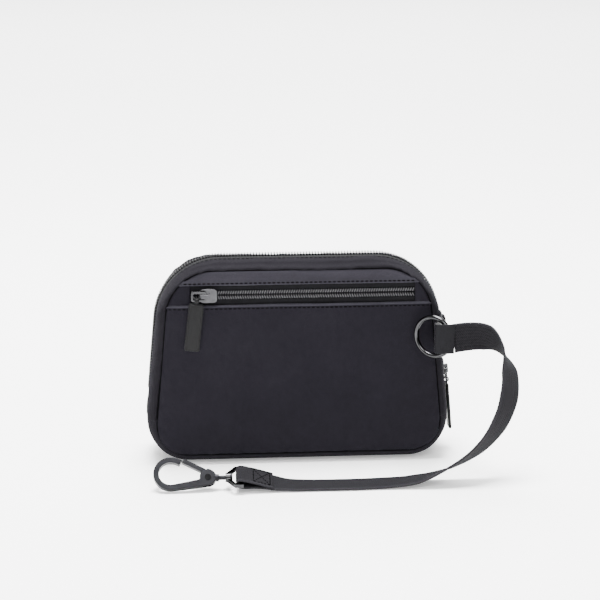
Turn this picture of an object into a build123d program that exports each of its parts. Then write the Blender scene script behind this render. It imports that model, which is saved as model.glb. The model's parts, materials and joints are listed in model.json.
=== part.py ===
from build123d import *
import os
from math import cos, radians, sin, sqrt, tan

# A small padded nylon pouch with a zip round its top, a zip pocket on its front,
# a ring held in a webbing tab at its side, and a webbing wrist strap that ends in
# a swivel clip. X is to the right, Y goes back, Z is up, and the origin is the
# middle of the flat underside. All sizes are in millimetres.

os.makedirs("parts", exist_ok=True)


def finish(part, name):
    """Label a finished piece and write it to its own file."""
    part.label = name
    export_step(part, "parts/" + name + ".step")


# ---- driving sizes: the bag ----
height = 133.0
depth = 50.0
base_width = 201.0          # width of the slanting sides, carried down to the floor
top_width = 176.5           # width of the slanting sides, carried up to the top
bottom_corner_radius = 27.0
top_corner_radius = 43.0
panel_corner_radius = 30.0  # the panels' upper corners are squarer than the bag's
edge_radius = 8.0           # roll from the gusset to the front and rear panels
wall = 2.5                  # padded nylon with its lining
seam_inset = 6.0            # panel seam, in from the widest outline
cross_seam_height = 31.0    # the zip gusset ends here, low on each side
body_gap = 0.3              # between pieces that move apart

# ---- driving sizes: the main zip ----
coil_gap = 1.8              # between the two coils, where the slider's post runs
coil_width = 2.3
coil_height = 2.2
tape_thickness = 0.6
tape_reach = 9.0            # from the zip's middle to the tape's hidden edge
gusset_fold = 5.5           # from the zip's middle to the folded edge of each gusset
coil_end_height = 46.0
stop_length = 2.4
main_slider_height = 56.0   # where the slider rests, on the right side
slider_length = 11.0
slider_width = 9.0
slider_plate = 1.3
slider_base = 0.9
slider_post = 1.2
slider_corner = 2.2
post_share = 0.4            # the post's length, as a share of the slider's
lug_share = 0.5             # the lug's length, as a share of the slider's
lug_shift = -2.0            # the lug sits off the slider's middle, away from its wide end
lug_height = 2.9
lug_width = 2.6
lug_hole_radius = 0.9
link_wire = 1.2
link_width = 6.4
link_inner_corner = 0.48
pocket_link_length = 8.4
main_link_length = 7.6
main_link_tilt = 0.05       # the hanging link follows the slanting side a little
pull_hang_share = 0.64      # how far along its link the pocket pull hangs
pull_lean = 6.5
pull_corner = 0.9
pull_length = 33.0
pull_width = 9.5
pull_thickness = 2.0
barrel_radius = 2.0         # eye at the top of each pull
barrel_bore = 1.2
barrel_length = 3.0

# ---- driving sizes: the front pocket ----
window_left = -69.0
window_right = 74.0
window_low = 105.5
window_high = 118.4
pocket_coil_gap = 1.6
pocket_coil_width = 1.9
pocket_coil_height = 1.2
pocket_slider_x = -57.8
pocket_bag_depth = 1.7
pocket_bag_wall = 0.4
pocket_bag_low = 36.0
pocket_bag_margin = 6.0
lining_thickness = 0.8
lining_gap = 0.2            # between the lining and what it covers
lining_rear_gap = 0.3

# ---- driving sizes: ring, tab, strap and clip ----
ring_inner_radius = 11.0
ring_wire = 3.1
ring_yaw = 38.0
ring_x = 84.4
ring_standoff = 12.0        # from the front panel forward to the ring's centre
side_height = 85.4          # height of the ring, the tab and the strap's sewn end
webbing_width = 19.0
webbing_thickness = 1.5
tab_thickness = 1.3
tab_skin_gap = 0.4
tab_start_y = -12.0
tab_patch_y = -19.0         # front edge of the tab's sewn end
tab_bend_y = -21.0
tab_bend_out = 0.6
tab_bend_radius = 1.6
tab_patch_sink = 1.3
tab_crossing = 3.1          # where the tab passes through the ring, right of its centre
tab_behind = 5.0            # the tab's bends, behind and ahead of the ring's plane
tab_ahead = 3.4
flap_reach = 3.2            # the folded end, right of the ring's wire
strap_gap = 0.1             # between the tab's flap and the strap sewn on it
loop_bar_radius = 1.2
eye_inner_half_width = 10.2
eye_wire = 2.4
eye_length = 8.6            # from the bar to the boss that the swivel turns in
boss_length = 3.0
boss_radius = 2.9
shoulder_share = 0.3        # the eye's shoulders, in wire thicknesses past the webbing
throat_share = 0.6          # the eye's inner throat, in wire thicknesses before its end
swivel_radius = 1.4
swivel_clearance = 0.08
collar_step = 0.7           # the swivel's head is this much wider than its post
collar_length = 1.2
collar_overlap = 0.2        # the collar takes in this much of the post's end
neck_step = 0.9
neck_length = 2.4
post_sink = 0.8             # the post starts this deep in the hub
hook_thickness = 4.0
hook_bow_radius = 10.8
hook_bow_x = -23.0
hook_bow_z = 3.0
hub_radius = 5.3
hook_band = 3.4
hook_lean = 50.0            # angle between the hook's face and the floor
hook_reach = 21.0           # from the loop's bar to the rivet
hook_inner_step = 1.4       # the hook's opening starts this far past the hub
hook_inner_rise = 0.4
cheek_gap = 2.0             # slot in the hub that takes the gate's flat lug
hub_web = 1.1               # what is left between the slot and the swivel's collar
rivet_radius = 1.3
rivet_head_step = 0.7
rivet_head_height = 0.4
gate_width = 3.0
gate_clearance = 0.3
gate_tip_x = -15.5
gate_tip_z = 11.6
gate_root_x = -1.2
gate_mouth_clearance = 5.0  # the hook is cut back this much wider than the gate
gate_lug_gap = 0.5
clip_height = 7.4
strap_standoff = 37.0       # from the ring's centre forward to the strap on the floor


# ---- the bag's outline, as a slab between two depths ----
def slab(inset, y_front, y_rear, corner=top_corner_radius):
    """The bag's outline shrunk by inset, filled from y_front back to y_rear."""
    with BuildPart() as block:
        with BuildSketch(Plane.XZ.offset(-y_rear)) as face:
            with BuildLine():
                Polyline(
                    (-base_width / 2, 0),
                    (base_width / 2, 0),
                    (top_width / 2, height),
                    (-top_width / 2, height),
                    close=True,
                )
            make_face()
            corners = face.vertices().sort_by(Axis.Y)
            fillet(corners[:2], bottom_corner_radius)
            corners = face.vertices().sort_by(Axis.Y)
            fillet(corners[-2:], corner)
            if inset > 0:
                offset(amount=-inset, kind=Kind.INTERSECTION)
        extrude(amount=y_rear - y_front)
    return block.part


def band(outer_inset, inner_inset, y_front, y_rear):
    """A closed band that follows the outline, between two insets and two depths."""
    outer_block = slab(outer_inset, y_front, y_rear)
    inner_block = slab(inner_inset, y_front - 1, y_rear + 1)
    with BuildPart() as ring_band:
        add(outer_block)
        add(inner_block, mode=Mode.SUBTRACT)
    return ring_band.part


half_depth = depth / 2
outer_slab = slab(0, -half_depth, half_depth)
core_slab = slab(wall, -half_depth + wall, half_depth - wall)

# Padded outer skin: the full outline with rolled front and rear edges, hollowed out.
with BuildPart() as skin:
    add(outer_slab)
    rims = skin.edges().filter_by(lambda e: abs(abs(e.center().Y) - half_depth) < 0.01)
    fillet(rims, edge_radius)
with BuildPart() as core:
    add(core_slab)
    rims = core.edges().filter_by(lambda e: abs(abs(e.center().Y) - half_depth + wall) < 0.01)
    fillet(rims, edge_radius - wall)
with BuildPart() as shell:
    add(skin.part)
    add(core.part, mode=Mode.SUBTRACT)

panel_corner = panel_corner_radius + seam_inset
roll_depth = half_depth - edge_radius + wall
panel_slab = slab(seam_inset, -half_depth - 1, -roll_depth, panel_corner)
rear_panel_slab = slab(seam_inset, roll_depth, half_depth + 1, panel_corner)
rear_opening_slab = slab(seam_inset - body_gap, roll_depth - body_gap, half_depth + 1, panel_corner)
rear_lining_slab = slab(seam_inset, roll_depth, half_depth)

# ---- front panel, top strip and zip-end patches, all cut from the skin's front ----
with BuildPart() as front_panel:
    add(shell.part)
    add(panel_slab, mode=Mode.INTERSECT)
    split(bisect_by=Plane.XY.offset(window_low), keep=Keep.BOTTOM)
finish(front_panel.part, "front_panel")

with BuildPart() as front_top_strip:
    add(shell.part)
    add(panel_slab, mode=Mode.INTERSECT)
    split(bisect_by=Plane.XY.offset(window_high), keep=Keep.TOP)
finish(front_top_strip.part, "front_top_strip")

with BuildPart() as window_level:
    add(shell.part)
    add(panel_slab, mode=Mode.INTERSECT)
    split(bisect_by=Plane.XY.offset(window_high), keep=Keep.BOTTOM)
    split(bisect_by=Plane.XY.offset(window_low), keep=Keep.TOP)

with BuildPart() as zip_end_patch_left:
    add(window_level.part)
    split(bisect_by=Plane.YZ.offset(window_left), keep=Keep.BOTTOM)
finish(zip_end_patch_left.part, "zip_end_patch_left")

with BuildPart() as zip_end_patch_right:
    add(window_level.part)
    split(bisect_by=Plane.YZ.offset(window_right), keep=Keep.TOP)
finish(zip_end_patch_right.part, "zip_end_patch_right")

# ---- pocket zip: two tapes and two coils behind the window ----
window_length = window_right - window_left
window_middle_x = (window_left + window_right) / 2
window_middle_z = (window_low + window_high) / 2
tape_front = -half_depth + wall - tape_thickness
pocket_coil_front = tape_front - pocket_coil_height


def pocket_strip(name, side, near, far, y_front, thickness):
    """One straight strip of the pocket zip, above (side 1) or below (side -1) its middle."""
    with BuildPart() as strip:
        with BuildSketch(Plane.XZ.offset(-y_front)):
            with Locations((window_middle_x, window_middle_z + side * (near + far) / 2)):
                Rectangle(window_length, far - near)
        extrude(amount=-thickness)
    finish(strip.part, name)


tape_half = window_middle_z - window_low
coil_near = pocket_coil_gap / 2
coil_far = coil_near + pocket_coil_width
pocket_strip("pocket_tape_upper", 1, coil_near, tape_half, tape_front, tape_thickness)
pocket_strip("pocket_tape_lower", -1, coil_near, tape_half, tape_front, tape_thickness)
pocket_strip("pocket_coil_upper", 1, coil_near, coil_far, pocket_coil_front, pocket_coil_height)
pocket_strip("pocket_coil_lower", -1, coil_near, coil_far, pocket_coil_front, pocket_coil_height)

# ---- pocket bag: two thin plies behind the front panel, open at the zip ----
bag_back = -half_depth + wall + pocket_bag_depth
with BuildPart() as pocket_bag:
    with BuildSketch(Plane.XZ.offset(half_depth - wall)):
        with Locations((window_middle_x, (pocket_bag_low + window_low) / 2)):
            Rectangle(window_length, window_low - pocket_bag_low)
    extrude(amount=-pocket_bag_depth)
    with BuildSketch(Plane.XZ.offset(half_depth - wall - pocket_bag_wall)):
        with Locations((window_middle_x, (pocket_bag_low + window_low) / 2 + pocket_bag_margin)):
            Rectangle(window_length - 2 * pocket_bag_margin, window_low - pocket_bag_low)
    extrude(amount=-(pocket_bag_depth - 2 * pocket_bag_wall), mode=Mode.SUBTRACT)
finish(pocket_bag.part, "pocket_bag")

# ---- gussets: the skin outside the panel seams, parted at the zip and the cross seams ----
with BuildPart() as front_gusset:
    add(shell.part)
    add(panel_slab, mode=Mode.SUBTRACT)
    split(bisect_by=Plane.XZ.offset(gusset_fold), keep=Keep.TOP)
    split(bisect_by=Plane.XY.offset(cross_seam_height), keep=Keep.TOP)
finish(front_gusset.part, "front_gusset")

with BuildPart() as rear_gusset:
    add(shell.part)
    add(rear_panel_slab, mode=Mode.SUBTRACT)
    split(bisect_by=Plane.XZ.offset(-gusset_fold), keep=Keep.BOTTOM)
    split(bisect_by=Plane.XY.offset(cross_seam_height + body_gap), keep=Keep.TOP)
finish(rear_gusset.part, "rear_gusset")

with BuildPart() as bottom_gusset:
    add(shell.part)
    add(panel_slab, mode=Mode.SUBTRACT)
    add(rear_opening_slab, mode=Mode.SUBTRACT)
    split(bisect_by=Plane.XY.offset(cross_seam_height), keep=Keep.BOTTOM)
finish(bottom_gusset.part, "bottom_gusset")

with BuildPart() as rear_panel:
    add(shell.part)
    add(rear_panel_slab, mode=Mode.INTERSECT)
finish(rear_panel.part, "rear_panel")


# ---- main zip: a tape, a coil and two end stops on each side ----
def zip_half(name, outer_inset, inner_inset, near, far, side, low):
    """A band of the zip on one side (-1 front, 1 rear), cut off at its low ends."""
    y_pair = sorted((side * near, side * far))
    strip_band = band(outer_inset, inner_inset, y_pair[0], y_pair[1])
    with BuildPart() as strip:
        add(strip_band)
        split(bisect_by=Plane.XY.offset(low), keep=Keep.TOP)
    finish(strip.part, name)
    return strip.part


coil_outer = wall - coil_height
coil_inner_y = coil_gap / 2
coil_outer_y = coil_inner_y + coil_width
tape_low = cross_seam_height + body_gap
for side, half in ((-1, "front"), (1, "rear")):
    zip_half(half + "_zip_tape", wall, wall + tape_thickness, coil_inner_y, tape_reach, side, tape_low)
    zip_half(half + "_zip_coil", coil_outer, wall, coil_inner_y, coil_outer_y, side, coil_end_height)
    stop_pair = sorted((side * coil_inner_y, side * coil_outer_y))
    stop_band = band(coil_outer, wall, stop_pair[0], stop_pair[1])
    with BuildPart() as zip_stops:
        add(stop_band)
        split(bisect_by=Plane.XY.offset(coil_end_height), keep=Keep.BOTTOM)
        split(bisect_by=Plane.XY.offset(coil_end_height - stop_length), keep=Keep.TOP)
    finish(zip_stops.part, half + "_zip_stops")

# ---- lining: one thin shell inside the padding, parted like the gussets ----
lining_inset = wall + tape_thickness + lining_gap
lining_inner = lining_inset + lining_thickness
lining_front_y = bag_back + lining_gap
lining_rear_y = half_depth - wall - lining_rear_gap
lining_outer_slab = slab(lining_inset, lining_front_y, lining_rear_y)
lining_inner_slab = slab(lining_inner, lining_front_y + lining_thickness, lining_rear_y - lining_thickness)


def rolled(block, y_front, y_rear, radius):
    """The slab with its front and rear rims rounded."""
    with BuildPart() as smooth:
        add(block)
        front_rims = smooth.edges().filter_by(lambda e: abs(e.center().Y - y_front) < 0.01)
        rear_rims = smooth.edges().filter_by(lambda e: abs(e.center().Y - y_rear) < 0.01)
        fillet(front_rims + rear_rims, radius)
    return smooth.part


lining_skin = rolled(lining_outer_slab, lining_front_y, lining_rear_y, edge_radius - wall)
lining_core = rolled(lining_inner_slab, lining_front_y + lining_thickness, lining_rear_y - lining_thickness,
                     edge_radius - wall - lining_thickness)
with BuildPart() as lining:
    add(lining_skin)
    add(lining_core, mode=Mode.SUBTRACT)

# The front lining carries on under the bottom of the bag, up to the rear panel's seam.
with BuildPart() as front_lining_upper:
    add(lining.part)
    split(bisect_by=Plane.XZ.offset(tape_reach), keep=Keep.TOP)
bottom_lining_rear = slab(seam_inset - body_gap, roll_depth - body_gap, half_depth)
with BuildPart() as front_lining:
    add(lining.part)
    add(bottom_lining_rear, mode=Mode.SUBTRACT)
    split(bisect_by=Plane.XY.offset(cross_seam_height), keep=Keep.BOTTOM)
    add(front_lining_upper.part)
finish(front_lining.part, "front_lining")

with BuildPart() as rear_lining_sides:
    add(lining.part)
    split(bisect_by=Plane.XZ.offset(-tape_reach), keep=Keep.BOTTOM)
    split(bisect_by=Plane.XY.offset(cross_seam_height + body_gap), keep=Keep.TOP)
with BuildPart() as rear_lining:
    add(lining.part)
    add(rear_lining_slab, mode=Mode.INTERSECT)
    add(rear_lining_sides.part)
finish(rear_lining.part, "rear_lining")


# ---- zip sliders and pulls, each drawn about its own plane ----
def slider_body(plane, plate_low, post_low, post_width, lug_place):
    """A slider in its plane (x along the zip, z outwards): two plates, a post and a lug."""
    lug_axis = plate_low + slider_plate + lug_height / 2
    with BuildPart() as body:
        with BuildSketch(plane.offset(plate_low)):
            RectangleRounded(slider_length, slider_width, slider_corner)
        extrude(amount=slider_plate)
        with BuildSketch(plane.offset(post_low)):
            Rectangle(slider_length * post_share, post_width)
        extrude(amount=plate_low - post_low + slider_plate / 2)
        with BuildSketch(plane.offset(post_low - slider_base)):
            RectangleRounded(slider_length, slider_width, slider_corner)
        extrude(amount=slider_base)
        with BuildSketch(plane.offset(plate_low + slider_plate)):
            with Locations((lug_place, 0)):
                Rectangle(slider_length * lug_share, lug_width)
        extrude(amount=lug_height)
        cross_plane = Plane(plane.from_local_coords((lug_place, 0, lug_axis)), x_dir=plane.x_dir,
                            z_dir=plane.y_dir)
        with BuildSketch(cross_plane):
            Circle(lug_hole_radius)
        extrude(amount=lug_width, both=True, mode=Mode.SUBTRACT)
    return body.part


def wire_link(plane, length):
    """A flat wire loop in the plane, from the lug's hole (origin) out along local x."""
    with BuildPart() as link:
        with BuildSketch(plane.offset(-link_wire / 2)):
            with Locations((length / 2, 0)):
                RectangleRounded(length + link_wire, link_width, link_wire)
                RectangleRounded(length - link_wire, link_width - 2 * link_wire, link_inner_corner,
                                 mode=Mode.SUBTRACT)
        extrude(amount=link_wire)
    return link.part


def pull_leaf(plane):
    """A leather-faced pull hung along local -y, with a barrel round the wire along local x."""
    with BuildPart() as leaf:
        with BuildSketch(plane.offset(-pull_thickness / 2)):
            with Locations((0, -pull_length / 2 - barrel_radius / 2)):
                RectangleRounded(pull_width, pull_length - barrel_radius, pull_corner)
            with Locations((0, -barrel_radius)):
                Rectangle(barrel_length, 2 * barrel_radius)
        extrude(amount=pull_thickness)
        wire_plane = Plane(plane.origin, x_dir=plane.y_dir, z_dir=plane.x_dir)
        with BuildSketch(wire_plane):
            Circle(barrel_radius)
        extrude(amount=barrel_length / 2, both=True)
        with BuildSketch(wire_plane):
            Circle(barrel_bore)
        extrude(amount=pull_width, both=True, mode=Mode.SUBTRACT)
    return leaf.part


# Pocket slider: along the zip is +x, outwards is -y, and its link points to the left.
pocket_face = Plane((pocket_slider_x, 0, window_middle_z), x_dir=(1, 0, 0), z_dir=(0, -1, 0))
pocket_plate_low = -pocket_coil_front + body_gap
pocket_post_low = -tape_front - tape_thickness - body_gap
pocket_post_width = pocket_coil_gap - 2 * body_gap
pocket_slider = slider_body(pocket_face, pocket_plate_low, pocket_post_low, pocket_post_width, lug_shift)
finish(pocket_slider, "pocket_slider")

pocket_link_x = pocket_slider_x + lug_shift
pocket_link_y = -pocket_plate_low - slider_plate - lug_height / 2
link_face = Plane((pocket_link_x, pocket_link_y, window_middle_z), x_dir=(-1, 0, 0), z_dir=(0, -1, 0))
finish(wire_link(link_face, pocket_link_length), "pocket_pull_link")

# The pull hangs from the link's lower wire, which passes through its eye.
pocket_pull_x = pocket_link_x - pocket_link_length * pull_hang_share
pocket_pull_z = window_middle_z - link_width / 2 + link_wire / 2
pocket_pull_face = Plane((pocket_pull_x, pocket_link_y, pocket_pull_z),
                         x_dir=(cos(radians(pull_lean)), 0, -sin(radians(pull_lean))), z_dir=(0, -1, 0))
finish(pull_leaf(pocket_pull_face), "pocket_pull_tab")

# Main slider: it runs on the straight slanting side, from its lower end upwards.
slant = (base_width - top_width) / 2 / height
side_length = sqrt(1 + slant * slant)
up_side = Vector(-slant / side_length, 0, 1 / side_length)
out_side = Vector(1 / side_length, 0, slant / side_length)
main_origin = Vector(base_width / 2 - slant * main_slider_height, 0, main_slider_height)
main_face = Plane(main_origin, x_dir=up_side * -1, z_dir=out_side)
main_plate_low = coil_height - wall + body_gap
main_post_low = -wall - tape_thickness - body_gap
main_slider = slider_body(main_face, main_plate_low, main_post_low, slider_post, -lug_shift)
finish(main_slider, "main_slider")

# Its link hangs straight down from the lug, edge on to the front, with the pull below it.
main_lug_out = main_plate_low + slider_plate + lug_height / 2
main_link_origin = main_face.from_local_coords((-lug_shift, 0, main_lug_out))
main_link_face = Plane(main_link_origin, x_dir=(main_link_tilt, 0, -1), z_dir=(1, 0, main_link_tilt))
finish(wire_link(main_link_face, main_link_length), "main_pull_link")
main_pull_origin = main_link_face.from_local_coords((main_link_length, 0, 0))
main_pull_face = Plane(main_pull_origin, x_dir=(0, 1, 0), z_dir=main_link_face.z_dir)
finish(pull_leaf(main_pull_face), "main_pull_tab")

# ---- ring, standing on edge at the bag's right side, turned part way round ----
ring_radius = ring_inner_radius + ring_wire / 2
ring_y = -half_depth - ring_standoff
ring_right = Vector(cos(radians(ring_yaw)), -sin(radians(ring_yaw)), 0)
ring_normal = Vector(sin(radians(ring_yaw)), cos(radians(ring_yaw)), 0)
ring_centre = Vector(ring_x, ring_y, side_height)
with BuildPart() as side_ring:
    with BuildSketch(Plane(ring_centre, x_dir=ring_right, z_dir=ring_right.cross(ring_normal * -1))) as wire:
        with Locations((ring_radius, 0)):
            Circle(ring_wire / 2)
    revolve(axis=Axis(ring_centre, ring_normal), revolution_arc=360)
finish(side_ring.part, "side_ring")

# ---- tab: one webbing strip, sewn to the gusset, through the ring and round its wire ----
crossing = ring_centre + ring_right * tab_crossing
wire_right = ring_centre + ring_right * ring_radius
side_x = base_width / 2 - slant * (side_height - webbing_width / 2)
flap_y = wire_right.Y - ring_wire / 2 - tab_thickness / 2 - body_gap
flap_end_x = wire_right.X + flap_reach
behind = crossing + ring_normal * tab_behind
ahead = crossing - ring_normal * tab_ahead
skin_x = side_x + tab_thickness / 2 + tab_skin_gap
with BuildPart() as side_tab:
    with BuildSketch(Plane.XY.offset(side_height - webbing_width / 2)) as strip:
        with BuildLine() as tab_line:
            FilletPolyline(
                (skin_x, tab_start_y),
                (skin_x + tab_bend_out, tab_bend_y),
                (behind.X, behind.Y),
                (ahead.X, ahead.Y),
                (ahead.X + tab_bend_out, flap_y),
                (flap_end_x, flap_y),
                radius=tab_bend_radius,
            )
        trace(line_width=tab_thickness)
    extrude(amount=webbing_width)
finish(side_tab.part, "side_tab")

# Stitched patch that holds the tab's end to the gusset's side.
with BuildPart() as tab_stitch_patch:
    with BuildSketch(Plane.XY.offset(side_height - webbing_width / 2)):
        with BuildLine():
            Polyline(
                (side_x + tab_skin_gap, tab_start_y),
                (side_x + tab_skin_gap, tab_patch_y),
                (side_x - tab_patch_sink, tab_patch_y),
                (side_x - tab_patch_sink, tab_start_y),
                close=True,
            )
        make_face()
    extrude(amount=webbing_width)
    add(skin.part, mode=Mode.SUBTRACT)
finish(tab_stitch_patch.part, "tab_stitch_patch")

# ---- strap: a flat webbing, from the tab round to the floor and on to the clip ----
strap_y = ring_y - strap_standoff
strap_start_y = flap_y + (tab_thickness + webbing_thickness) / 2 + strap_gap
strap_route = [
    (flap_end_x, strap_start_y, side_height),
    (107.5, strap_y + 29.0, 86.4),
    (117.5, strap_y + 26.5, 86.0),
    (127.0, strap_y + 21.5, 80.0),
    (132.0, strap_y + 15.5, 68.0),
    (131.0, strap_y + 10.0, 52.0),
    (124.0, strap_y + 5.5, 36.0),
    (110.5, strap_y + 1.5, 21.0),
    (91.0, strap_y - 0.5, 10.0),
    (70.0, strap_y - 0.5, 2.6),
    (49.0, strap_y + 0.5, 0.9),
    (28.0, strap_y - 0.5, 0.9),
    (7.0, strap_y, 0.9),
    (-11.0, strap_y, 1.3),
    (-22.0, strap_y, 3.62),
]
# Across the strap, from its lower edge to its upper edge, at each point of the route.
strap_across = [
    (0, 0, 1),
    (0, -0.12, 1),
    (0.05, -0.5, 0.85),
    (-0.1, -0.93, 0.35),
    (-0.42, -0.9, 0.12),
    (-0.5, -0.86, 0.1),
    (-0.42, -0.88, 0.18),
    (-0.18, -0.95, 0.26),
    (-0.04, -0.97, 0.22),
    (0, -1, 0.06),
    (0, -1, 0),
    (0, -1, 0),
    (0, -1, 0),
    (0, -1, -0.04),
    (0, -1, -0.2),
]
# Each bend is as large as its two runs allow.
bend_share = 0.45
bend_radii = []
for before, corner, after in zip(strap_route, strap_route[1:], strap_route[2:]):
    run_in = Vector(corner) - Vector(before)
    run_out = Vector(after) - Vector(corner)
    turn = radians(run_in.get_angle(run_out))
    bend_radii.append(bend_share * min(run_in.length, run_out.length) / tan(turn / 2))
with BuildLine() as strap_line:
    FilletPolyline(*strap_route, radius=bend_radii)

# Flat sections along the line, turned to lie as the strap does, joined by straight sides.
route_lengths = [0.0]
for before, after in zip(strap_route, strap_route[1:]):
    route_lengths.append(route_lengths[-1] + (Vector(after) - Vector(before)).length)
section_count = 56
with BuildPart() as strap:
    for index in range(section_count + 1):
        share = index / section_count
        place = strap_line.wire() @ share
        along = strap_line.wire() % share
        reach = share * route_lengths[-1]
        leg = max(i for i in range(len(strap_route) - 1) if route_lengths[i] <= reach + 1e-6)
        mix = (reach - route_lengths[leg]) / (route_lengths[leg + 1] - route_lengths[leg])
        lean = Vector(strap_across[leg]) * (1 - mix) + Vector(strap_across[leg + 1]) * mix
        across = lean - along * lean.dot(along)
        with BuildSketch(Plane(place, x_dir=across, z_dir=along)):
            Rectangle(webbing_width, webbing_thickness)
    loft(ruled=True)
finish(strap.part, "strap")

# ---- webbing loop at the strap's end: folded back round the clip's bar and sewn ----
def unit(vector):
    """The vector at length one."""
    return vector * (1 / vector.length)


strap_tip = Vector(strap_route[-1])
loop_along = unit(strap_tip - Vector(strap_route[-2]))
lean = Vector(strap_across[-1])
loop_across = unit(lean - loop_along * lean.dot(loop_along))
bar_distance = (clip_height - strap_tip.Z) / loop_along.Z
loop_plane = Plane(strap_tip, x_dir=loop_along, z_dir=loop_across)
loop_inner = loop_bar_radius + body_gap
loop_outer = loop_inner + webbing_thickness
with BuildPart() as strap_end_loop:
    with BuildSketch(loop_plane.offset(-webbing_width / 2)) as loop_face:
        with BuildLine():
            Polyline(
                (0, -webbing_thickness),
                (bar_distance, -loop_outer),
                (bar_distance, loop_outer),
                (0, webbing_thickness),
                close=True,
            )
        make_face()
        with Locations((bar_distance, 0)):
            Circle(loop_outer)
            Circle(loop_inner, mode=Mode.SUBTRACT)
    extrude(amount=webbing_width)
finish(strap_end_loop.part, "strap_end_loop")

# ---- clip eye: a D of wire round the webbing's bar, with a bored boss for the swivel ----
bar_centre = strap_tip + loop_along * bar_distance
to_hook = Vector(-1, 0, 0)
eye_along = unit(to_hook - loop_across * to_hook.dot(loop_across))
eye_plane = Plane(bar_centre, x_dir=eye_along, z_dir=eye_along.cross(loop_across))
eye_half = eye_inner_half_width + eye_wire / 2
eye_shoulder = loop_outer + body_gap
eye_throat = eye_length - eye_wire * throat_share
with BuildPart() as clip_eye:
    with BuildSketch(eye_plane.offset(-eye_wire / 2)):
        with BuildLine():
            Polyline(
                (-eye_wire / 2, -eye_half),
                (eye_shoulder + eye_wire * shoulder_share, -eye_half),
                (eye_length + eye_wire / 2, -boss_radius),
                (eye_length + eye_wire / 2, boss_radius),
                (eye_shoulder + eye_wire * shoulder_share, eye_half),
                (-eye_wire / 2, eye_half),
                close=True,
            )
        make_face()
        with BuildLine():
            Polyline(
                (-eye_wire / 2, -eye_inner_half_width),
                (eye_shoulder, -eye_inner_half_width),
                (eye_throat, -boss_radius),
                (eye_throat, boss_radius),
                (eye_shoulder, eye_inner_half_width),
                (-eye_wire / 2, eye_inner_half_width),
                close=True,
            )
        make_face(mode=Mode.SUBTRACT)
    extrude(amount=eye_wire)
    bar_plane = Plane(bar_centre, x_dir=eye_along, z_dir=loop_across)
    with BuildSketch(bar_plane):
        Circle(loop_bar_radius)
    extrude(amount=eye_half, both=True)
    boss_plane = Plane(bar_centre + Vector(-eye_length + boss_length / 2, 0, 0), z_dir=(-1, 0, 0))
    with BuildSketch(boss_plane):
        Circle(boss_radius)
    extrude(amount=boss_length)
    with BuildSketch(boss_plane.offset(-1)):
        Circle(swivel_radius + swivel_clearance)
    extrude(amount=boss_length + 4, mode=Mode.SUBTRACT)
finish(clip_eye.part, "clip_eye")

# ---- hook: a flat teardrop with a hub, leaning back, resting on its lower edge ----
hub_centre = bar_centre + Vector(-hook_reach, 0, 0)
lean_angle = radians(hook_lean)
hook_up = Vector(0, cos(lean_angle), sin(lean_angle))
hook_plane = Plane(hub_centre, x_dir=(1, 0, 0), z_dir=Vector(1, 0, 0).cross(hook_up))
hook_low = hook_plane.offset(-hook_thickness / 2)
inner_bow = hook_bow_radius - hook_band
gate_root_z = hub_radius - gate_width / 2


def gate_bar(width, grow):
    """The straight bar from the hub to the hook's nose, as a corner list."""
    run = Vector(gate_tip_x - gate_root_x, gate_tip_z - gate_root_z)
    ahead_dir = unit(run)
    side_dir = Vector(-ahead_dir.Y, ahead_dir.X)
    far = Vector(gate_tip_x, gate_tip_z) + ahead_dir * grow
    near = Vector(gate_root_x, gate_root_z)
    corners = (near + side_dir * width / 2, far + side_dir * width / 2,
               far - side_dir * width / 2, near - side_dir * width / 2)
    return [(corner.X, corner.Y) for corner in corners]


with BuildPart() as clip_hook:
    with BuildSketch(hook_low):
        with Locations((hook_bow_x, hook_bow_z)):
            Circle(hook_bow_radius)
        Circle(hub_radius)
        make_hull()
    extrude(amount=hook_thickness)
    with BuildSketch(hook_low):
        with Locations((hook_bow_x, hook_bow_z)):
            Circle(inner_bow)
        with Locations((-hub_radius - hook_inner_step, hook_inner_rise)):
            Circle(hub_radius - hook_band)
        make_hull()
    extrude(amount=hook_thickness, mode=Mode.SUBTRACT)
    with BuildSketch(hook_low):
        with BuildLine():
            Polyline(*gate_bar(gate_width + gate_mouth_clearance, gate_clearance), close=True)
        make_face()
        Circle(hub_radius, mode=Mode.SUBTRACT)
    extrude(amount=hook_thickness, mode=Mode.SUBTRACT)
    with BuildSketch(hook_plane.offset(-cheek_gap / 2)):
        Circle(hub_radius + 1)
        with Locations((hub_radius + 1, 0)):
            Rectangle(2 * (1 + hub_web), 4 * hub_radius, mode=Mode.SUBTRACT)
    extrude(amount=cheek_gap, mode=Mode.SUBTRACT)
    with BuildSketch(hook_low):
        Circle(rivet_radius)
    extrude(amount=hook_thickness, mode=Mode.SUBTRACT)
    swivel_start = hub_centre + Vector(hub_radius - post_sink, 0, 0)
    swivel_end = bar_centre + Vector(-eye_length + boss_length / 2 + collar_length, 0, 0)
    post_plane = Plane(swivel_start, z_dir=(1, 0, 0))
    with BuildSketch(post_plane):
        Circle(swivel_radius)
    extrude(amount=(swivel_end - swivel_start).X)
    with BuildSketch(Plane(swivel_end + Vector(collar_overlap - collar_length, 0, 0), z_dir=(1, 0, 0))):
        Circle(swivel_radius + collar_step)
    extrude(amount=collar_length)
    with BuildSketch(post_plane):
        Circle(swivel_radius + neck_step)
    extrude(amount=neck_length)
finish(clip_hook.part, "clip_hook")

with BuildPart() as clip_rivet:
    with BuildSketch(hook_plane.offset(-hook_thickness / 2 - rivet_head_height)):
        Circle(rivet_radius + rivet_head_step)
    extrude(amount=rivet_head_height)
    with BuildSketch(hook_low):
        Circle(rivet_radius)
    extrude(amount=hook_thickness)
    with BuildSketch(hook_plane.offset(hook_thickness / 2)):
        Circle(rivet_radius + rivet_head_step)
    extrude(amount=rivet_head_height)
finish(clip_rivet.part, "clip_rivet")

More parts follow.
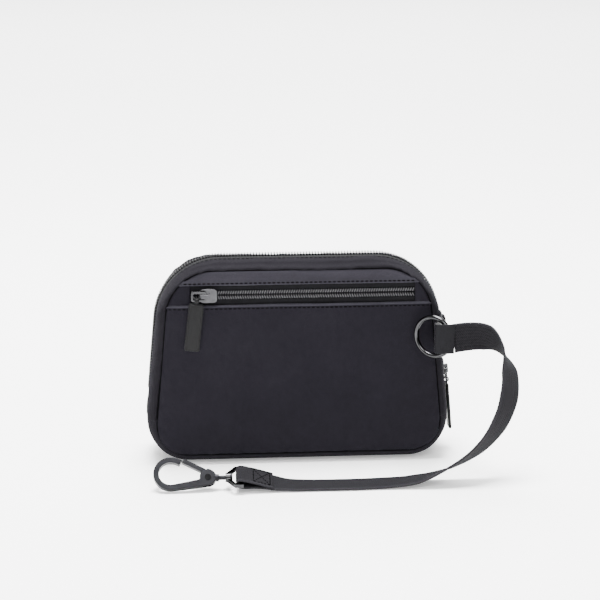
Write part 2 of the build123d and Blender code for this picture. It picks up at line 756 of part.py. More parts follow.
# ---- gate: a bar that closes the hook's mouth, turning on the rivet ----
gate_lug_radius = hub_radius - hub_web - gate_lug_gap
with BuildPart() as clip_gate:
    with BuildSketch(hook_plane.offset(-cheek_gap / 2 + body_gap)):
        Circle(gate_lug_radius)
        with BuildLine():
            Polyline(*gate_bar(gate_width, -gate_clearance), close=True)
        make_face()
    extrude(amount=cheek_gap - 2 * body_gap)
    with BuildSketch(hook_low.offset(body_gap)):
        with BuildLine():
            Polyline(*gate_bar(gate_width, -gate_clearance), close=True)
        make_face()
        Circle(hub_radius + body_gap, mode=Mode.SUBTRACT)
    extrude(amount=hook_thickness - 2 * body_gap)
    with BuildSketch(hook_low):
        Circle(rivet_radius + swivel_clearance)
    extrude(amount=hook_thickness, mode=Mode.SUBTRACT)
finish(clip_gate.part, "clip_gate")
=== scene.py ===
import json
from math import atan2, cos, hypot, pi, radians, sin, sqrt

import bpy
import numpy as np
from mathutils import Matrix, Vector, noise

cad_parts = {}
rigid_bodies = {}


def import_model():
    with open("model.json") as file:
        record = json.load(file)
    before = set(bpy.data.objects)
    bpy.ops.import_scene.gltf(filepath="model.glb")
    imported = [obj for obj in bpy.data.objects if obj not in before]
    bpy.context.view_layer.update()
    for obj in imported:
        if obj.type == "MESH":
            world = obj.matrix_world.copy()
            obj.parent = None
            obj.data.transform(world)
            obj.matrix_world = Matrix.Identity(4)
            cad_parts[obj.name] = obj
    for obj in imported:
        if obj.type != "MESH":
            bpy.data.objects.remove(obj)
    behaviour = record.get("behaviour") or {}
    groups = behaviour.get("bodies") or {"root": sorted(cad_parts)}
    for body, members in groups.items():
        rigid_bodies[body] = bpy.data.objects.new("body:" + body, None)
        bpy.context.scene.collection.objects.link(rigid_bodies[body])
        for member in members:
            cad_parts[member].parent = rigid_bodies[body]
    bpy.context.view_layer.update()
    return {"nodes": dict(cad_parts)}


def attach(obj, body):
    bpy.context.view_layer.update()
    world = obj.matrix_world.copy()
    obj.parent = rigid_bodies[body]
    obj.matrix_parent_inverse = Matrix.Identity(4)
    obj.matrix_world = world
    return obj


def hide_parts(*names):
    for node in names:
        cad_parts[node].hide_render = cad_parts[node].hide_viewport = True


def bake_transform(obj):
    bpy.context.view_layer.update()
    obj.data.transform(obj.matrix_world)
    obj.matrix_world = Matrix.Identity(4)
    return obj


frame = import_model()
nodes = frame["nodes"]
MM = 0.001

# ---- sizes of the pouch, in millimetres, as in the CAD part ----
HEIGHT = 133.0
BASE_WIDTH = 201.0
TOP_WIDTH = 176.5
LOW_CORNER = 27.0
TOP_CORNER = 43.0
PANEL_CORNER = 30.0
SEAM_INSET = 6.0
CROSS_SEAM = 31.0
WINDOW_LEFT, WINDOW_RIGHT = -69.0, 74.0
WINDOW_LOW, WINDOW_HIGH = 105.5, 118.4
COIL_END = 46.0
PANEL_FACE = 23.75          # depth of the panels' seams, from the zip's middle
CLOTH_THICKNESS = 1.1
LEAN_START, LEAN_RUN, LEAN_DEPTH = 116.5, 10.5, 4.3
REAR_DROP = 1.9             # the rear gusset lies this much lower behind the zip
GUSSET_LOW_END = 29.6
TOOTH_PITCH = 1.9

# ---- camera ----
CAMERA_TARGET = Vector((2.3, 0.0, 102.0)) * MM
CAMERA_DISTANCE = 1.3
CAMERA_AZIMUTH = radians(-4.5)
CAMERA_ELEVATION = radians(13.7)
LENS = 120.4


def place_camera():
    camera = bpy.data.objects.new("camera", bpy.data.cameras.new("camera"))
    bpy.context.scene.collection.objects.link(camera)
    flat = cos(CAMERA_ELEVATION)
    away = Vector((sin(CAMERA_AZIMUTH) * flat, -cos(CAMERA_AZIMUTH) * flat, sin(CAMERA_ELEVATION)))
    camera.location = CAMERA_TARGET + away * CAMERA_DISTANCE
    camera.rotation_euler = (-away).to_track_quat("-Z", "Y").to_euler()
    camera.data.lens = LENS
    camera.data.sensor_width = 36.0
    camera.data.clip_start = 0.05
    camera.data.clip_end = 60.0
    bpy.context.scene.camera = camera


# ---- materials ----
class Value:
    """An output socket that does arithmetic: each operation adds a Math node."""

    def __init__(self, finish, socket):
        self.finish = finish
        self.socket = socket

    def math(self, operation, *others):
        sockets = dict(enumerate([self, *others]))
        return self.finish.add("ShaderNodeMath", {"operation": operation}, sockets)

    def flipped(self, operation, first):
        return self.finish.add("ShaderNodeMath", {"operation": operation}, {0: first, 1: self})

    def __add__(self, other):
        return self.math("ADD", other)

    def __sub__(self, other):
        return self.math("SUBTRACT", other)

    def __rsub__(self, other):
        return self.flipped("SUBTRACT", other)

    def __mul__(self, other):
        return self.math("MULTIPLY", other)

    def __truediv__(self, other):
        return self.math("DIVIDE", other)

    __radd__ = __add__
    __rmul__ = __mul__

    def sine(self):
        return self.math("SINE")

    def size(self):
        return self.math("ABSOLUTE")

    def above(self, edge):
        return self.math("GREATER_THAN", edge)

    def power(self, exponent):
        return self.math("POWER", exponent)

    def rounded_down(self):
        return self.math("FLOOR")


class Finish:
    """A material built round one Principled shader, whose fixed values are given by name."""

    def __init__(self, name, **fixed):
        self.material = bpy.data.materials.new(name)
        self.material.use_nodes = True
        self.tree = self.material.node_tree
        self.shader = next(n for n in self.tree.nodes if n.type == "BSDF_PRINCIPLED")
        for socket, value in fixed.items():
            self.shader.inputs[socket.replace("_", " ")].default_value = value

    def add(self, kind, settings=None, sockets=None, output=0):
        node = self.tree.nodes.new(kind)
        for key, value in (settings or {}).items():
            setattr(node, key, value)
        for key, value in (sockets or {}).items():
            self.connect(node.inputs[key], value)
        return Value(self, node.outputs[output])

    def connect(self, socket, value):
        if isinstance(value, Value):
            self.tree.links.new(value.socket, socket)
        else:
            socket.default_value = value

    def drive(self, socket, value):
        self.connect(self.shader.inputs[socket], value)

    def coordinates(self, kind="Object"):
        return self.add("ShaderNodeTexCoord", output=kind)

    def split(self, vector):
        node = self.tree.nodes.new("ShaderNodeSeparateXYZ")
        self.connect(node.inputs[0], vector)
        return [Value(self, out) for out in node.outputs]

    def stretched(self, vector, scale):
        return self.add("ShaderNodeMapping", {}, {"Vector": vector, "Scale": scale})

    def grain(self, vector, scale, detail=3.0, rough=0.55, distortion=0.0):
        return self.add("ShaderNodeTexNoise", {}, {
            "Vector": vector, "Scale": scale, "Detail": detail, "Roughness": rough,
            "Distortion": distortion})

    def blend(self, factor, first, second):
        node = self.tree.nodes.new("ShaderNodeMix")
        node.data_type = "RGBA"
        for index, value in ((0, factor), (6, first), (7, second)):
            self.connect(node.inputs[index], value)
        return Value(self, node.outputs[2])

    def bump(self, height, distance, strength=1.0, under=None):
        sockets = {"Height": height, "Distance": distance, "Strength": strength}
        if under is not None:
            sockets["Normal"] = under
        return self.add("ShaderNodeBump", {}, sockets)


def tone(red, green, blue):
    return (red, green, blue, 1.0)


def between(noise_value, low, high):
    """A noise value, which stays near a half, spread from low to high."""
    return noise_value * (high - low) + low


# Painted highlight on the nylon's folded edges: how far the paler tone reaches from each fold height, in
# metres, and that paler tone.
FOLD_HIGHLIGHT_REACH = 0.0007
FOLD_HIGHLIGHT_TONE = tone(0.026, 0.025, 0.031)


def woven_nylon(name, dark, light, rough, thread=0.00042, highlight_folds=(), gloss=0.03):
    """Satin nylon cloth: a fine plain weave, faint creases and a soft sheen.
    Each fold is a height, in metres, where the folded edge gets a painted highlight: it is painted paler,
    standing in for the top light it catches."""
    cloth = Finish(name, Specular_IOR_Level=gloss, Sheen_Weight=0.02, Sheen_Roughness=0.4)
    cloth.shader.inputs["Sheen Tint"].default_value = tone(0.72, 0.70, 0.80)
    places = cloth.coordinates("Object")
    across, along, _ = cloth.split(cloth.coordinates("UV"))
    turns = 2 * pi / thread
    weave = (across * turns).sine() * (along * turns).sine()
    cloudy = cloth.grain(places, 34.0, 4.0)
    flecks = cloth.grain(places, 900.0, 2.0)
    mix = between(cloudy, 0.1, 0.9) * 0.7 + weave * 0.16 + flecks * 0.3
    colour = cloth.blend(mix, dark, light)
    # Painted highlight: a band round each fold height is painted paler, standing in for the top light that
    # the folded edge catches.
    for height in highlight_folds:
        rise = cloth.split(places)[2]
        fold_highlight = (1 - (rise - height).size() / FOLD_HIGHLIGHT_REACH).above(0.0) * between(cloudy, 0.4, 1.0)
        colour = cloth.blend(fold_highlight, colour, FOLD_HIGHLIGHT_TONE)
    cloth.drive("Base Color", colour)
    cloth.drive("Roughness", between(cloth.grain(places, 60.0, 3.0), rough - 0.12, rough + 0.12))
    creases = cloth.grain(cloth.stretched(places, (1.0, 1.0, 0.45)), 95.0, 4.0, 0.5, 0.6)
    soft = cloth.bump(creases, 0.0020, 0.45)
    cloth.drive("Normal", cloth.bump(weave, 0.00006, 0.7, soft))
    return cloth.material


def webbing_finish(name, dark, light):
    """Woven strap: a fine herringbone across its width and a plain selvedge."""
    cloth = Finish(name, Specular_IOR_Level=0.015, Sheen_Weight=0.02, Sheen_Roughness=0.5)
    cloth.shader.inputs["Sheen Tint"].default_value = tone(0.8, 0.8, 0.86)
    along, across, _ = cloth.split(cloth.coordinates("UV"))
    places = cloth.coordinates("Object")
    rib, twill_pitch, selvedge, selvedge_pitch = 0.0021, 0.0013, 0.0084, 0.0009
    column = (across / rib).rounded_down()
    turn = (column * pi + pi / 2).sine()
    twill = ((along + across * turn) * (2 * pi / twill_pitch)).sine()
    furrow = (across * (pi / rib)).sine().size().power(0.35)
    edge = across.size().above(selvedge)
    cover = twill * 0.5 + 0.5
    edge_weave = (along * (2 * pi / selvedge_pitch)).sine() * 0.3 + 0.7
    raised = cover * furrow * (1 - edge) + edge * edge_weave
    speckle = cloth.grain(places, 700.0, 3.0)
    mix = raised * 0.55 + between(speckle, -0.2, 0.8) * 0.45 + edge * 0.2
    cloth.drive("Base Color", cloth.blend(mix, dark, light))
    cloth.drive("Roughness", between(speckle, 0.6, 0.95))
    cloth.drive("Normal", cloth.bump(raised, 0.00022, 0.8, cloth.bump(speckle, 0.0002, 0.4)))
    return cloth.material


def zip_tape_finish(name, dark, light):
    cloth = Finish(name, Specular_IOR_Level=0.05, Sheen_Weight=0.04, Sheen_Roughness=0.5)
    along, across, _ = cloth.split(cloth.coordinates("UV"))
    ribs = (along * (2 * pi / 0.0008)).sine() * (across * (2 * pi / 0.0005)).sine()
    speckle = cloth.grain(cloth.coordinates("Object"), 500.0, 2.0)
    cloth.drive("Base Color", cloth.blend(ribs * 0.25 + speckle * 0.8, dark, light))
    cloth.drive("Roughness", between(speckle, 0.6, 0.9))
    cloth.drive("Normal", cloth.bump(ribs, 0.0001, 0.7))
    return cloth.material


def coil_finish(name, dark, light):
    plastic = Finish(name, Specular_IOR_Level=0.2)
    places = plastic.coordinates("Object")
    speckle = plastic.grain(places, 420.0, 2.0)
    plastic.drive("Base Color", plastic.blend(between(speckle, 0.0, 1.0), dark, light))
    plastic.drive("Roughness", between(speckle, 0.3, 0.55))
    plastic.drive("Normal", plastic.bump(plastic.grain(places, 1500.0), 0.00004, 0.4))
    return plastic.material


def metal_finish(name, dark, light, rough, grit):
    """Plated metal: a little cloudy, with fine scratches and worn patches."""
    metal = Finish(name, Metallic=1.0)
    places = metal.coordinates("Object")
    cloudy = metal.grain(places, 160.0, 4.0)
    scratches = metal.grain(metal.stretched(places, (1.0, 1.0, 9.0)), 420.0, 2.0)
    metal.drive("Base Color", metal.blend(between(cloudy, 0.0, 1.0), dark, light))
    metal.drive("Roughness", between(cloudy, rough - 0.08, rough + 0.08) + (scratches - 0.5) * 0.12)
    metal.drive("Normal", metal.bump(metal.grain(places, 1400.0, 3.0), grit, 0.5))
    return metal.material


def leather_finish(name, dark, light):
    hide = Finish(name, Specular_IOR_Level=0.12)
    places = hide.coordinates("Object")
    cells = hide.add("ShaderNodeTexVoronoi", {"feature": "DISTANCE_TO_EDGE"},
                     {"Vector": places, "Scale": 900.0})
    cloudy = hide.grain(places, 120.0, 3.0)
    hide.drive("Base Color", hide.blend(between(cloudy, 0.0, 1.0), dark, light))
    hide.drive("Roughness", between(cloudy, 0.34, 0.5))
    hide.drive("Normal", hide.bump(cells, 0.0001, 0.35, hide.bump(cloudy, 0.0006, 0.2)))
    return hide.material


def thread_finish(name, dark, light):
    yarn = Finish(name, Specular_IOR_Level=0.01)
    speckle = yarn.grain(yarn.coordinates("Object"), 1200.0, 2.0)
    yarn.drive("Base Color", yarn.blend(speckle, dark, light))
    yarn.drive("Roughness", between(speckle, 0.75, 0.95))
    yarn.drive("Normal", yarn.bump(speckle, 0.0001, 0.5))
    return yarn.material


panel_nylon = woven_nylon("panel_nylon", tone(0.0043, 0.0039, 0.0057), tone(0.0104, 0.0094, 0.0130), 0.62,
                          highlight_folds=(0.1051,))
rear_nylon = woven_nylon("rear_panel_nylon", tone(0.0043, 0.0039, 0.0057), tone(0.0104, 0.0094, 0.0130), 0.62)
# Painted light: the strip above the pocket zip is the panel's nylon painted about twice as light, standing in
# for the top light its backward lean catches; its folded edge also gets the painted fold highlight.
strip_nylon_painted_lighter = woven_nylon("strip_nylon_painted_lighter", tone(0.0084, 0.0078, 0.0104), tone(0.0200, 0.0188, 0.0240), 0.58,
                          highlight_folds=(0.1184,))
gusset_nylon = woven_nylon("gusset_nylon", tone(0.0052, 0.0049, 0.0060), tone(0.0126, 0.0118, 0.0142), 0.84,
                           gloss=0.006)
lining_cloth = woven_nylon("lining_cloth", tone(0.014, 0.013, 0.016), tone(0.028, 0.027, 0.031), 0.7,
                           thread=0.0006)
webbing = webbing_finish("webbing", tone(0.0024, 0.0023, 0.0027), tone(0.0220, 0.0213, 0.0240))
tape_cloth = zip_tape_finish("zip_tape", tone(0.0025, 0.0025, 0.0030), tone(0.0090, 0.0090, 0.0105))
coil_plastic = coil_finish("zip_coil", tone(0.003, 0.003, 0.0035), tone(0.014, 0.014, 0.015))
bright_coil = coil_finish("pocket_zip_coil", tone(0.030, 0.030, 0.032), tone(0.105, 0.105, 0.110))
gunmetal = metal_finish("gunmetal", tone(0.020, 0.020, 0.021), tone(0.048, 0.048, 0.050), 0.09, 0.00001)
slider_metal = metal_finish("slider_metal", tone(0.020, 0.020, 0.022), tone(0.060, 0.060, 0.062),
                            0.22, 0.00003)
cast_metal = metal_finish("hook_metal", tone(0.0090, 0.0090, 0.0100), tone(0.0190, 0.0190, 0.0210),
                          0.40, 0.00006)
pressed_leather = leather_finish("pull_leather", tone(0.0010, 0.0010, 0.0012), tone(0.0030, 0.0030, 0.0034))
sewing_thread = thread_finish("sewing_thread", tone(0.0008, 0.0008, 0.0010), tone(0.0026, 0.0026, 0.0030))


# ---- small tools for meshes ----
def only(piece):
    """Leave this piece alone selected and active."""
    for other in bpy.context.view_layer.objects.selected[:]:
        other.select_set(False)
    bpy.context.view_layer.objects.active = piece
    piece.select_set(True)


def add_piece(name, corners, faces, material):
    """A mesh piece from corners in millimetres."""
    mesh = bpy.data.meshes.new(name)
    mesh.from_pydata([tuple(c) for c in np.asarray(corners, float) * MM], [], faces)
    piece = bpy.data.objects.new(name, mesh)
    bpy.context.scene.collection.objects.link(piece)
    mesh.materials.append(material)
    mesh.polygons.foreach_set("use_smooth", [True] * len(mesh.polygons))
    mesh.update()
    return piece


def settle(piece, body, node):
    """Fix a piece to its body, in place of a CAD node where there is one."""
    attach(piece, body)
    if node:
        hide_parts(node)


def apply_modifier(piece, kind, **settings):
    only(piece)
    modifier = piece.modifiers.new(kind.lower(), kind)
    for key, value in settings.items():
        setattr(modifier, key, value)
    bpy.ops.object.modifier_apply(modifier=modifier.name)
    return piece


def grid_faces(rows, columns, ring=False):
    """Faces of a grid that look towards columns x rows; a ring joins its last column to its first."""
    faces = []
    for i in range(rows - 1):
        for j in range(columns if ring else columns - 1):
            k = (j + 1) % columns
            faces.append((i * columns + j, i * columns + k, (i + 1) * columns + k, (i + 1) * columns + j))
    return faces


def cloth_grid(name, places, marks, material, thickness=0.0, side=-1.0):
    """A sheet of cloth from a grid of places and the pattern marks at each of them."""
    rows, columns, _ = places.shape
    piece = add_piece(name, places.reshape(-1, 3), grid_faces(rows, columns), material)
    layer = piece.data.uv_layers.new(name="cloth")
    flat = marks.reshape(-1, 2) * MM
    corners = np.empty(len(piece.data.loops), int)
    piece.data.loops.foreach_get("vertex_index", corners)
    layer.data.foreach_set("uv", flat[corners].ravel())
    if thickness:
        apply_modifier(piece, "SOLIDIFY", thickness=thickness * MM, offset=side, use_even_offset=False,
                       use_quality_normals=True)
    return piece


def spread_marks(places):
    """Pattern marks that follow the cloth: lengths along the rows and columns of a grid."""
    down = np.zeros(places.shape[:2])
    over = np.zeros(places.shape[:2])
    down[1:] = np.cumsum(np.linalg.norm(np.diff(places, axis=0), axis=2), axis=0)
    over[:, 1:] = np.cumsum(np.linalg.norm(np.diff(places, axis=1), axis=2), axis=1)
    over -= over[:, -1:] / 2
    return np.stack([down, over], axis=2)


def smooth_step(value):
    value = np.clip(value, 0.0, 1.0)
    return value * value * (3 - 2 * value)


def ripple(a, b, seed):
    """Smooth seeded noise over two arrays, from about -1 to 1."""
    flat = [noise.noise(Vector((x, y, seed))) for x, y in zip(np.ravel(a), np.ravel(b))]
    return np.array(flat).reshape(np.shape(a)) * 1.6


# ---- the outline: one number runs from the middle of the top (0) down to the middle of the base (5) ----
SLANT = (BASE_WIDTH - TOP_WIDTH) / 2 / HEIGHT
SIDE_TILT = atan2(SLANT, 1.0)
NORMAL_X, NORMAL_Z = cos(SIDE_TILT), sin(SIDE_TILT)


def half_outline(step, inset, top_corner, low_corner):
    """Point (x, z) on the right half of the outline, and its outward direction."""
    reach = BASE_WIDTH / 2 * NORMAL_X - inset
    top_z = HEIGHT - inset - top_corner
    top_x = (reach - top_corner - top_z * NORMAL_Z) / NORMAL_X
    low_z = inset + low_corner
    low_x = (reach - low_corner - low_z * NORMAL_Z) / NORMAL_X
    if step <= 1:
        return top_x * step, HEIGHT - inset, 0.0, 1.0
    if step <= 2:
        angle = pi / 2 + (SIDE_TILT - pi / 2) * (step - 1)
        return top_x + top_corner * cos(angle), top_z + top_corner * sin(angle), cos(angle), sin(angle)
    if step <= 3:
        share = step - 2
        start = (top_x + top_corner * NORMAL_X, top_z + top_corner * NORMAL_Z)
        end = (low_x + low_corner * NORMAL_X, low_z + low_corner * NORMAL_Z)
        return (start[0] + (end[0] - start[0]) * share, start[1] + (end[1] - start[1]) * share,
                NORMAL_X, NORMAL_Z)
    if step <= 4:
        angle = SIDE_TILT + (-pi / 2 - SIDE_TILT) * (step - 3)
        return low_x + low_corner * cos(angle), low_z + low_corner * sin(angle), cos(angle), sin(angle)
    return low_x * (5 - step), inset, 0.0, -1.0


def on_outline(step, inset):
    """Point and outward direction at a signed step (right side positive). Corners get squarer inwards."""
    squarer = (TOP_CORNER - PANEL_CORNER) / SEAM_INSET
    top_corner = max(TOP_CORNER - squarer * max(inset, 0.0), 1.0) if inset < SEAM_INSET else \
        max(PANEL_CORNER - (inset - SEAM_INSET), 1.0)
    low_corner = max(LOW_CORNER - inset, 1.0)
    x, z, nx, nz = half_outline(abs(step), inset, top_corner, low_corner)
    sign = 1.0 if step >= 0 else -1.0
    return x * sign, z, nx * sign, nz


def even_steps(first, last, spacing):
    """Signed steps between two, about evenly spaced in millimetres, with their running lengths."""
    dense = np.linspace(first, last, 1500)
    line = np.array([on_outline(s, 0.0)[:2] for s in dense])
    length = np.concatenate([[0.0], np.cumsum(np.linalg.norm(np.diff(line, axis=0), axis=1))])
    count = int(round(length[-1] / spacing)) + 1
    even = np.linspace(0.0, length[-1], count)
    return np.interp(even, length, dense), even


def step_at_height(z):
    """The step on the straight side at a height."""
    high = half_outline(2, 0.0, TOP_CORNER, LOW_CORNER)[1]
    low = half_outline(3, 0.0, TOP_CORNER, LOW_CORNER)[1]
    return 2 + (high - z) / (high - low)


def smooth_profile(points, count):
    """A smooth line through the profile's points, evenly spaced."""
    points = np.array(points, float)
    padded = np.vstack([2 * points[0] - points[1], points, 2 * points[-1] - points[-2]])
    line = []
    for i in range(1, len(padded) - 2):
        p0, p1, p2, p3 = padded[i - 1:i + 3]
        for t in np.linspace(0, 1, 12, endpoint=False):
            line.append(0.5 * (2 * p1 + (p2 - p0) * t + (2 * p0 - 5 * p1 + 4 * p2 - p3) * t * t
                               + (3 * p1 - p0 - 3 * p2 + p3) * t ** 3))
    line = np.array(line + [points[-1]])
    length = np.concatenate([[0.0], np.cumsum(np.linalg.norm(np.diff(line, axis=0), axis=1))])
    even = np.linspace(0, length[-1], count)
    return np.stack([np.interp(even, length, line[:, k]) for k in range(2)], axis=1)


def sweep_outline(steps, profile, push=None, side_profile=None):
    """Places for a profile of (inset, y) carried along the outline; push moves a point outwards.
    Where the outline faces sideways, the profile turns into side_profile."""
    places = np.zeros((len(steps), len(profile), 3))
    for i, step in enumerate(steps):
        facing = on_outline(step, 0.0)[3] ** 2
        here = profile if side_profile is None else side_profile + (profile - side_profile) * facing
        for j, (inset, y) in enumerate(here):
            x, z, nx, nz = on_outline(step, inset)
            out = push[i, j] if push is not None else 0.0
            places[i, j] = (x + nx * out, y, z + nz * out)
    return places


def depth_inside(x, z, inset, top_corner, low_corner):
    """How far a point of the front lies inside the outline at that inset."""
    x = abs(x)
    side = BASE_WIDTH / 2 * NORMAL_X - inset - (x * NORMAL_X + z * NORMAL_Z)
    top = HEIGHT - inset - z
    low = z - inset
    if top < top_corner and side < top_corner:
        return top_corner - hypot(top_corner - top, top_corner - side)
    if low < low_corner and side < low_corner:
        return low_corner - hypot(low_corner - low, low_corner - side)
    return min(side, top, low)


def half_width(z, inset):
    """Half width of the panel's outline at a height."""
    top_corner = PANEL_CORNER
    low_corner = LOW_CORNER - inset
    reach = BASE_WIDTH / 2 * NORMAL_X - inset
    top_z = HEIGHT - inset - top_corner
    low_z = inset + low_corner
    if z > top_z + top_corner * NORMAL_Z:
        centre = (reach - top_corner - top_z * NORMAL_Z) / NORMAL_X
        return centre + sqrt(max(top_corner ** 2 - (z - top_z) ** 2, 0.0))
    if z < low_z + low_corner * NORMAL_Z:
        centre = (reach - low_corner - low_z * NORMAL_Z) / NORMAL_X
        return centre + sqrt(max(low_corner ** 2 - (z - low_z) ** 2, 0.0))
    return (reach - z * NORMAL_Z) / NORMAL_X


def capsules(name, rows, length, width, height, material, sides=6):
    """Many small rounded rods in one mesh. Each row is (centre, along, out)."""
    rings = [(-0.5, 0.35), (-0.42, 0.8), (-0.2, 1.0), (0.2, 1.0), (0.42, 0.8), (0.5, 0.35)]
    corners, faces = [], []
    for centre, along, out in rows:
        centre, along, out = np.array(centre), np.array(along, float), np.array(out, float)
        along /= np.linalg.norm(along)
        across = np.cross(along, out)
        across /= np.linalg.norm(across)
        out = np.cross(across, along)
        start = len(corners)
        for place, share in rings:
            for k in range(sides):
                turn = 2 * pi * k / sides
                corners.append(centre + along * place * length
                               + (across * cos(turn) * width + out * sin(turn) * height) * share / 2)
        for r in range(len(rings) - 1):
            for k in range(sides):
                m = (k + 1) % sides
                faces.append((start + r * sides + k, start + (r + 1) * sides + k,
                              start + (r + 1) * sides + m, start + r * sides + m))
        faces.append(tuple(start + k for k in range(sides)))
        last = start + (len(rings) - 1) * sides
        faces.append(tuple(last + k for k in reversed(range(sides))))
    return add_piece(name, corners, faces, material)


def stitch_rows(line, outs, pitch):
    """Centres, directions and outward directions of stitches along a line."""
    line, outs = np.array(line, float), np.array(outs, float)
    length = np.concatenate([[0.0], np.cumsum(np.linalg.norm(np.diff(line, axis=0), axis=1))])
    count = int(length[-1] / pitch)
    rows = []
    for k in range(count):
        at = (k + 0.5) * length[-1] / count
        near = [np.interp(at + d, length, line[:, c]) for d in (-0.4, 0.4) for c in range(3)]
        ahead = np.array(near[3:]) - np.array(near[:3])
        centre = [np.interp(at, length, line[:, c]) for c in range(3)]
        out = [np.interp(at, length, outs[:, c]) for c in range(3)]
        rows.append((centre, ahead, out))
    return rows


def route_line(route, divisions=10):
    """Points along a smooth NURBS line that has the route as its control points, with their parameters."""
    curve = bpy.data.curves.new("route", "CURVE")
    curve.dimensions = "3D"
    curve.resolution_u = divisions
    spline = curve.splines.new("NURBS")
    spline.points.add(len(route) - 1)
    for point, place in zip(spline.points, route):
        point.co = (place[0] * MM, place[1] * MM, place[2] * MM, 1.0)
    spline.order_u = 3
    spline.use_endpoint_u = True
    holder = bpy.data.objects.new("route", curve)
    bpy.context.scene.collection.objects.link(holder)
    bpy.context.view_layer.update()
    mesh = bpy.data.meshes.new_from_object(holder)
    points = np.array([v.co for v in mesh.vertices], float) / MM
    bpy.data.meshes.remove(mesh)
    bpy.data.objects.remove(holder)
    bpy.data.curves.remove(curve)
    return points


def ribbon(name, line, across, width, thickness, material):
    """A flat woven strap along a line. across gives the direction of its width at each point."""
    line, across = np.array(line, float), np.array(across, float)
    tangent = np.gradient(line, axis=0)
    tangent /= np.linalg.norm(tangent, axis=1)[:, None]
    across -= tangent * np.sum(across * tangent, axis=1)[:, None]
    across /= np.linalg.norm(across, axis=1)[:, None]
    normal = np.cross(tangent, across)
    half, thick = width / 2, thickness / 2
    section = []
    spots = [-1.0, -0.985, -0.94, -0.86, -0.6, -0.3, 0.0, 0.3, 0.6, 0.86, 0.94, 0.985, 1.0]
    swell = [0.0, 0.62, 1.0, 0.92, 0.9, 0.92, 0.9, 0.92, 0.9, 0.92, 1.0, 0.62, 0.0]
    for spot, share in zip(spots, swell):
        section.append((spot * half, thick * share))
    for spot, share in list(zip(spots, swell))[-2:0:-1]:
        section.append((spot * half, -thick * share))
    count = len(section)
    corners = [line[i] + across[i] * a + normal[i] * b for i in range(len(line)) for a, b in section]
    faces = grid_faces(len(line), count, ring=True)
    faces.append(tuple(reversed(range(count))))
    last = (len(line) - 1) * count
    faces.append(tuple(last + k for k in range(count)))
    piece = add_piece(name, corners, faces, material)
    length = np.concatenate([[0.0], np.cumsum(np.linalg.norm(np.diff(line, axis=0), axis=1))])
    layer = piece.data.uv_layers.new(name="cloth")
    for loop in piece.data.loops:
        i, k = divmod(loop.vertex_index, count)
        layer.data[loop.index].uv = (length[i] * MM, section[k][0] * MM)
    outward(piece)
    return piece


def outward(piece):
    """Turn all faces outwards."""
    only(piece)
    bpy.ops.object.mode_set(mode="EDIT")
    bpy.ops.mesh.select_all(action="SELECT")
    bpy.ops.mesh.normals_make_consistent(inside=False)
    bpy.ops.object.mode_set(mode="OBJECT")


# ---- strap: a free webbing that curls down to the floor, with its sewn loop and clip ----
WEBBING_WIDTH, WEBBING_THICKNESS = 19.0, 1.5
STRAP_ROUTE = [
    (95.9, -46.0, 86.4), (106.5, -45.0, 87.7), (117.5, -47.5, 87.6), (126.5, -52.5, 80.6),
    (130.5, -58.5, 68.0), (129.6, -64.0, 52.0), (123.0, -68.5, 36.0), (110.0, -72.5, 21.0),
    (91.0, -74.5, 10.0), (70.0, -74.5, 2.6), (49.0, -73.5, 0.9), (28.0, -74.5, 0.9),
    (7.0, -74.0, 0.9), (-11.0, -74.0, 1.3), (-22.0, -74.0, 3.62)]
STRAP_ACROSS = [
    (0, 0, 1), (0, -0.08, 1), (0.05, -0.32, 0.95), (-0.05, -0.93, 0.42), (-0.62, -0.78, 0.1),
    (-0.72, -0.66, 0.1), (-0.66, -0.68, 0.26), (-0.4, -0.8, 0.4), (-0.12, -0.93, 0.36),
    (0, -1, 0.06), (0, -1, 0), (0, -1, 0), (0, -1, 0), (0, -1, -0.04), (0, -1, -0.2)]


def widths_along(line_points, directions):
    """The strap's width direction at each point, from those at the route's points."""
    directions = np.array(directions, float)
    count = len(directions)
    spots = np.concatenate([[0.0], np.arange(count - 2) + 0.5, [count - 2.0]])
    turns = np.linspace(0.0, count - 2.0, line_points)
    return np.stack([np.interp(turns, spots, directions[:, k]) for k in range(3)], axis=1)


def make_strap():
    line = route_line(STRAP_ROUTE)
    across = widths_along(len(line), STRAP_ACROSS)
    strap = ribbon("wrist_strap", line, across, WEBBING_WIDTH, WEBBING_THICKNESS, webbing)
    settle(strap, "front_half", "strap")
    return strap, line


LOOP_BAR = Vector((-39.92241, -74.0, 7.4))
LOOP_THICKNESS = 1.35
BOX_LOW, BOX_HIGH, BOX_EDGE = 0.8, 11.5, 7.6
BOX_LIFT = 0.62             # the stitches stand this far off the loop's middle


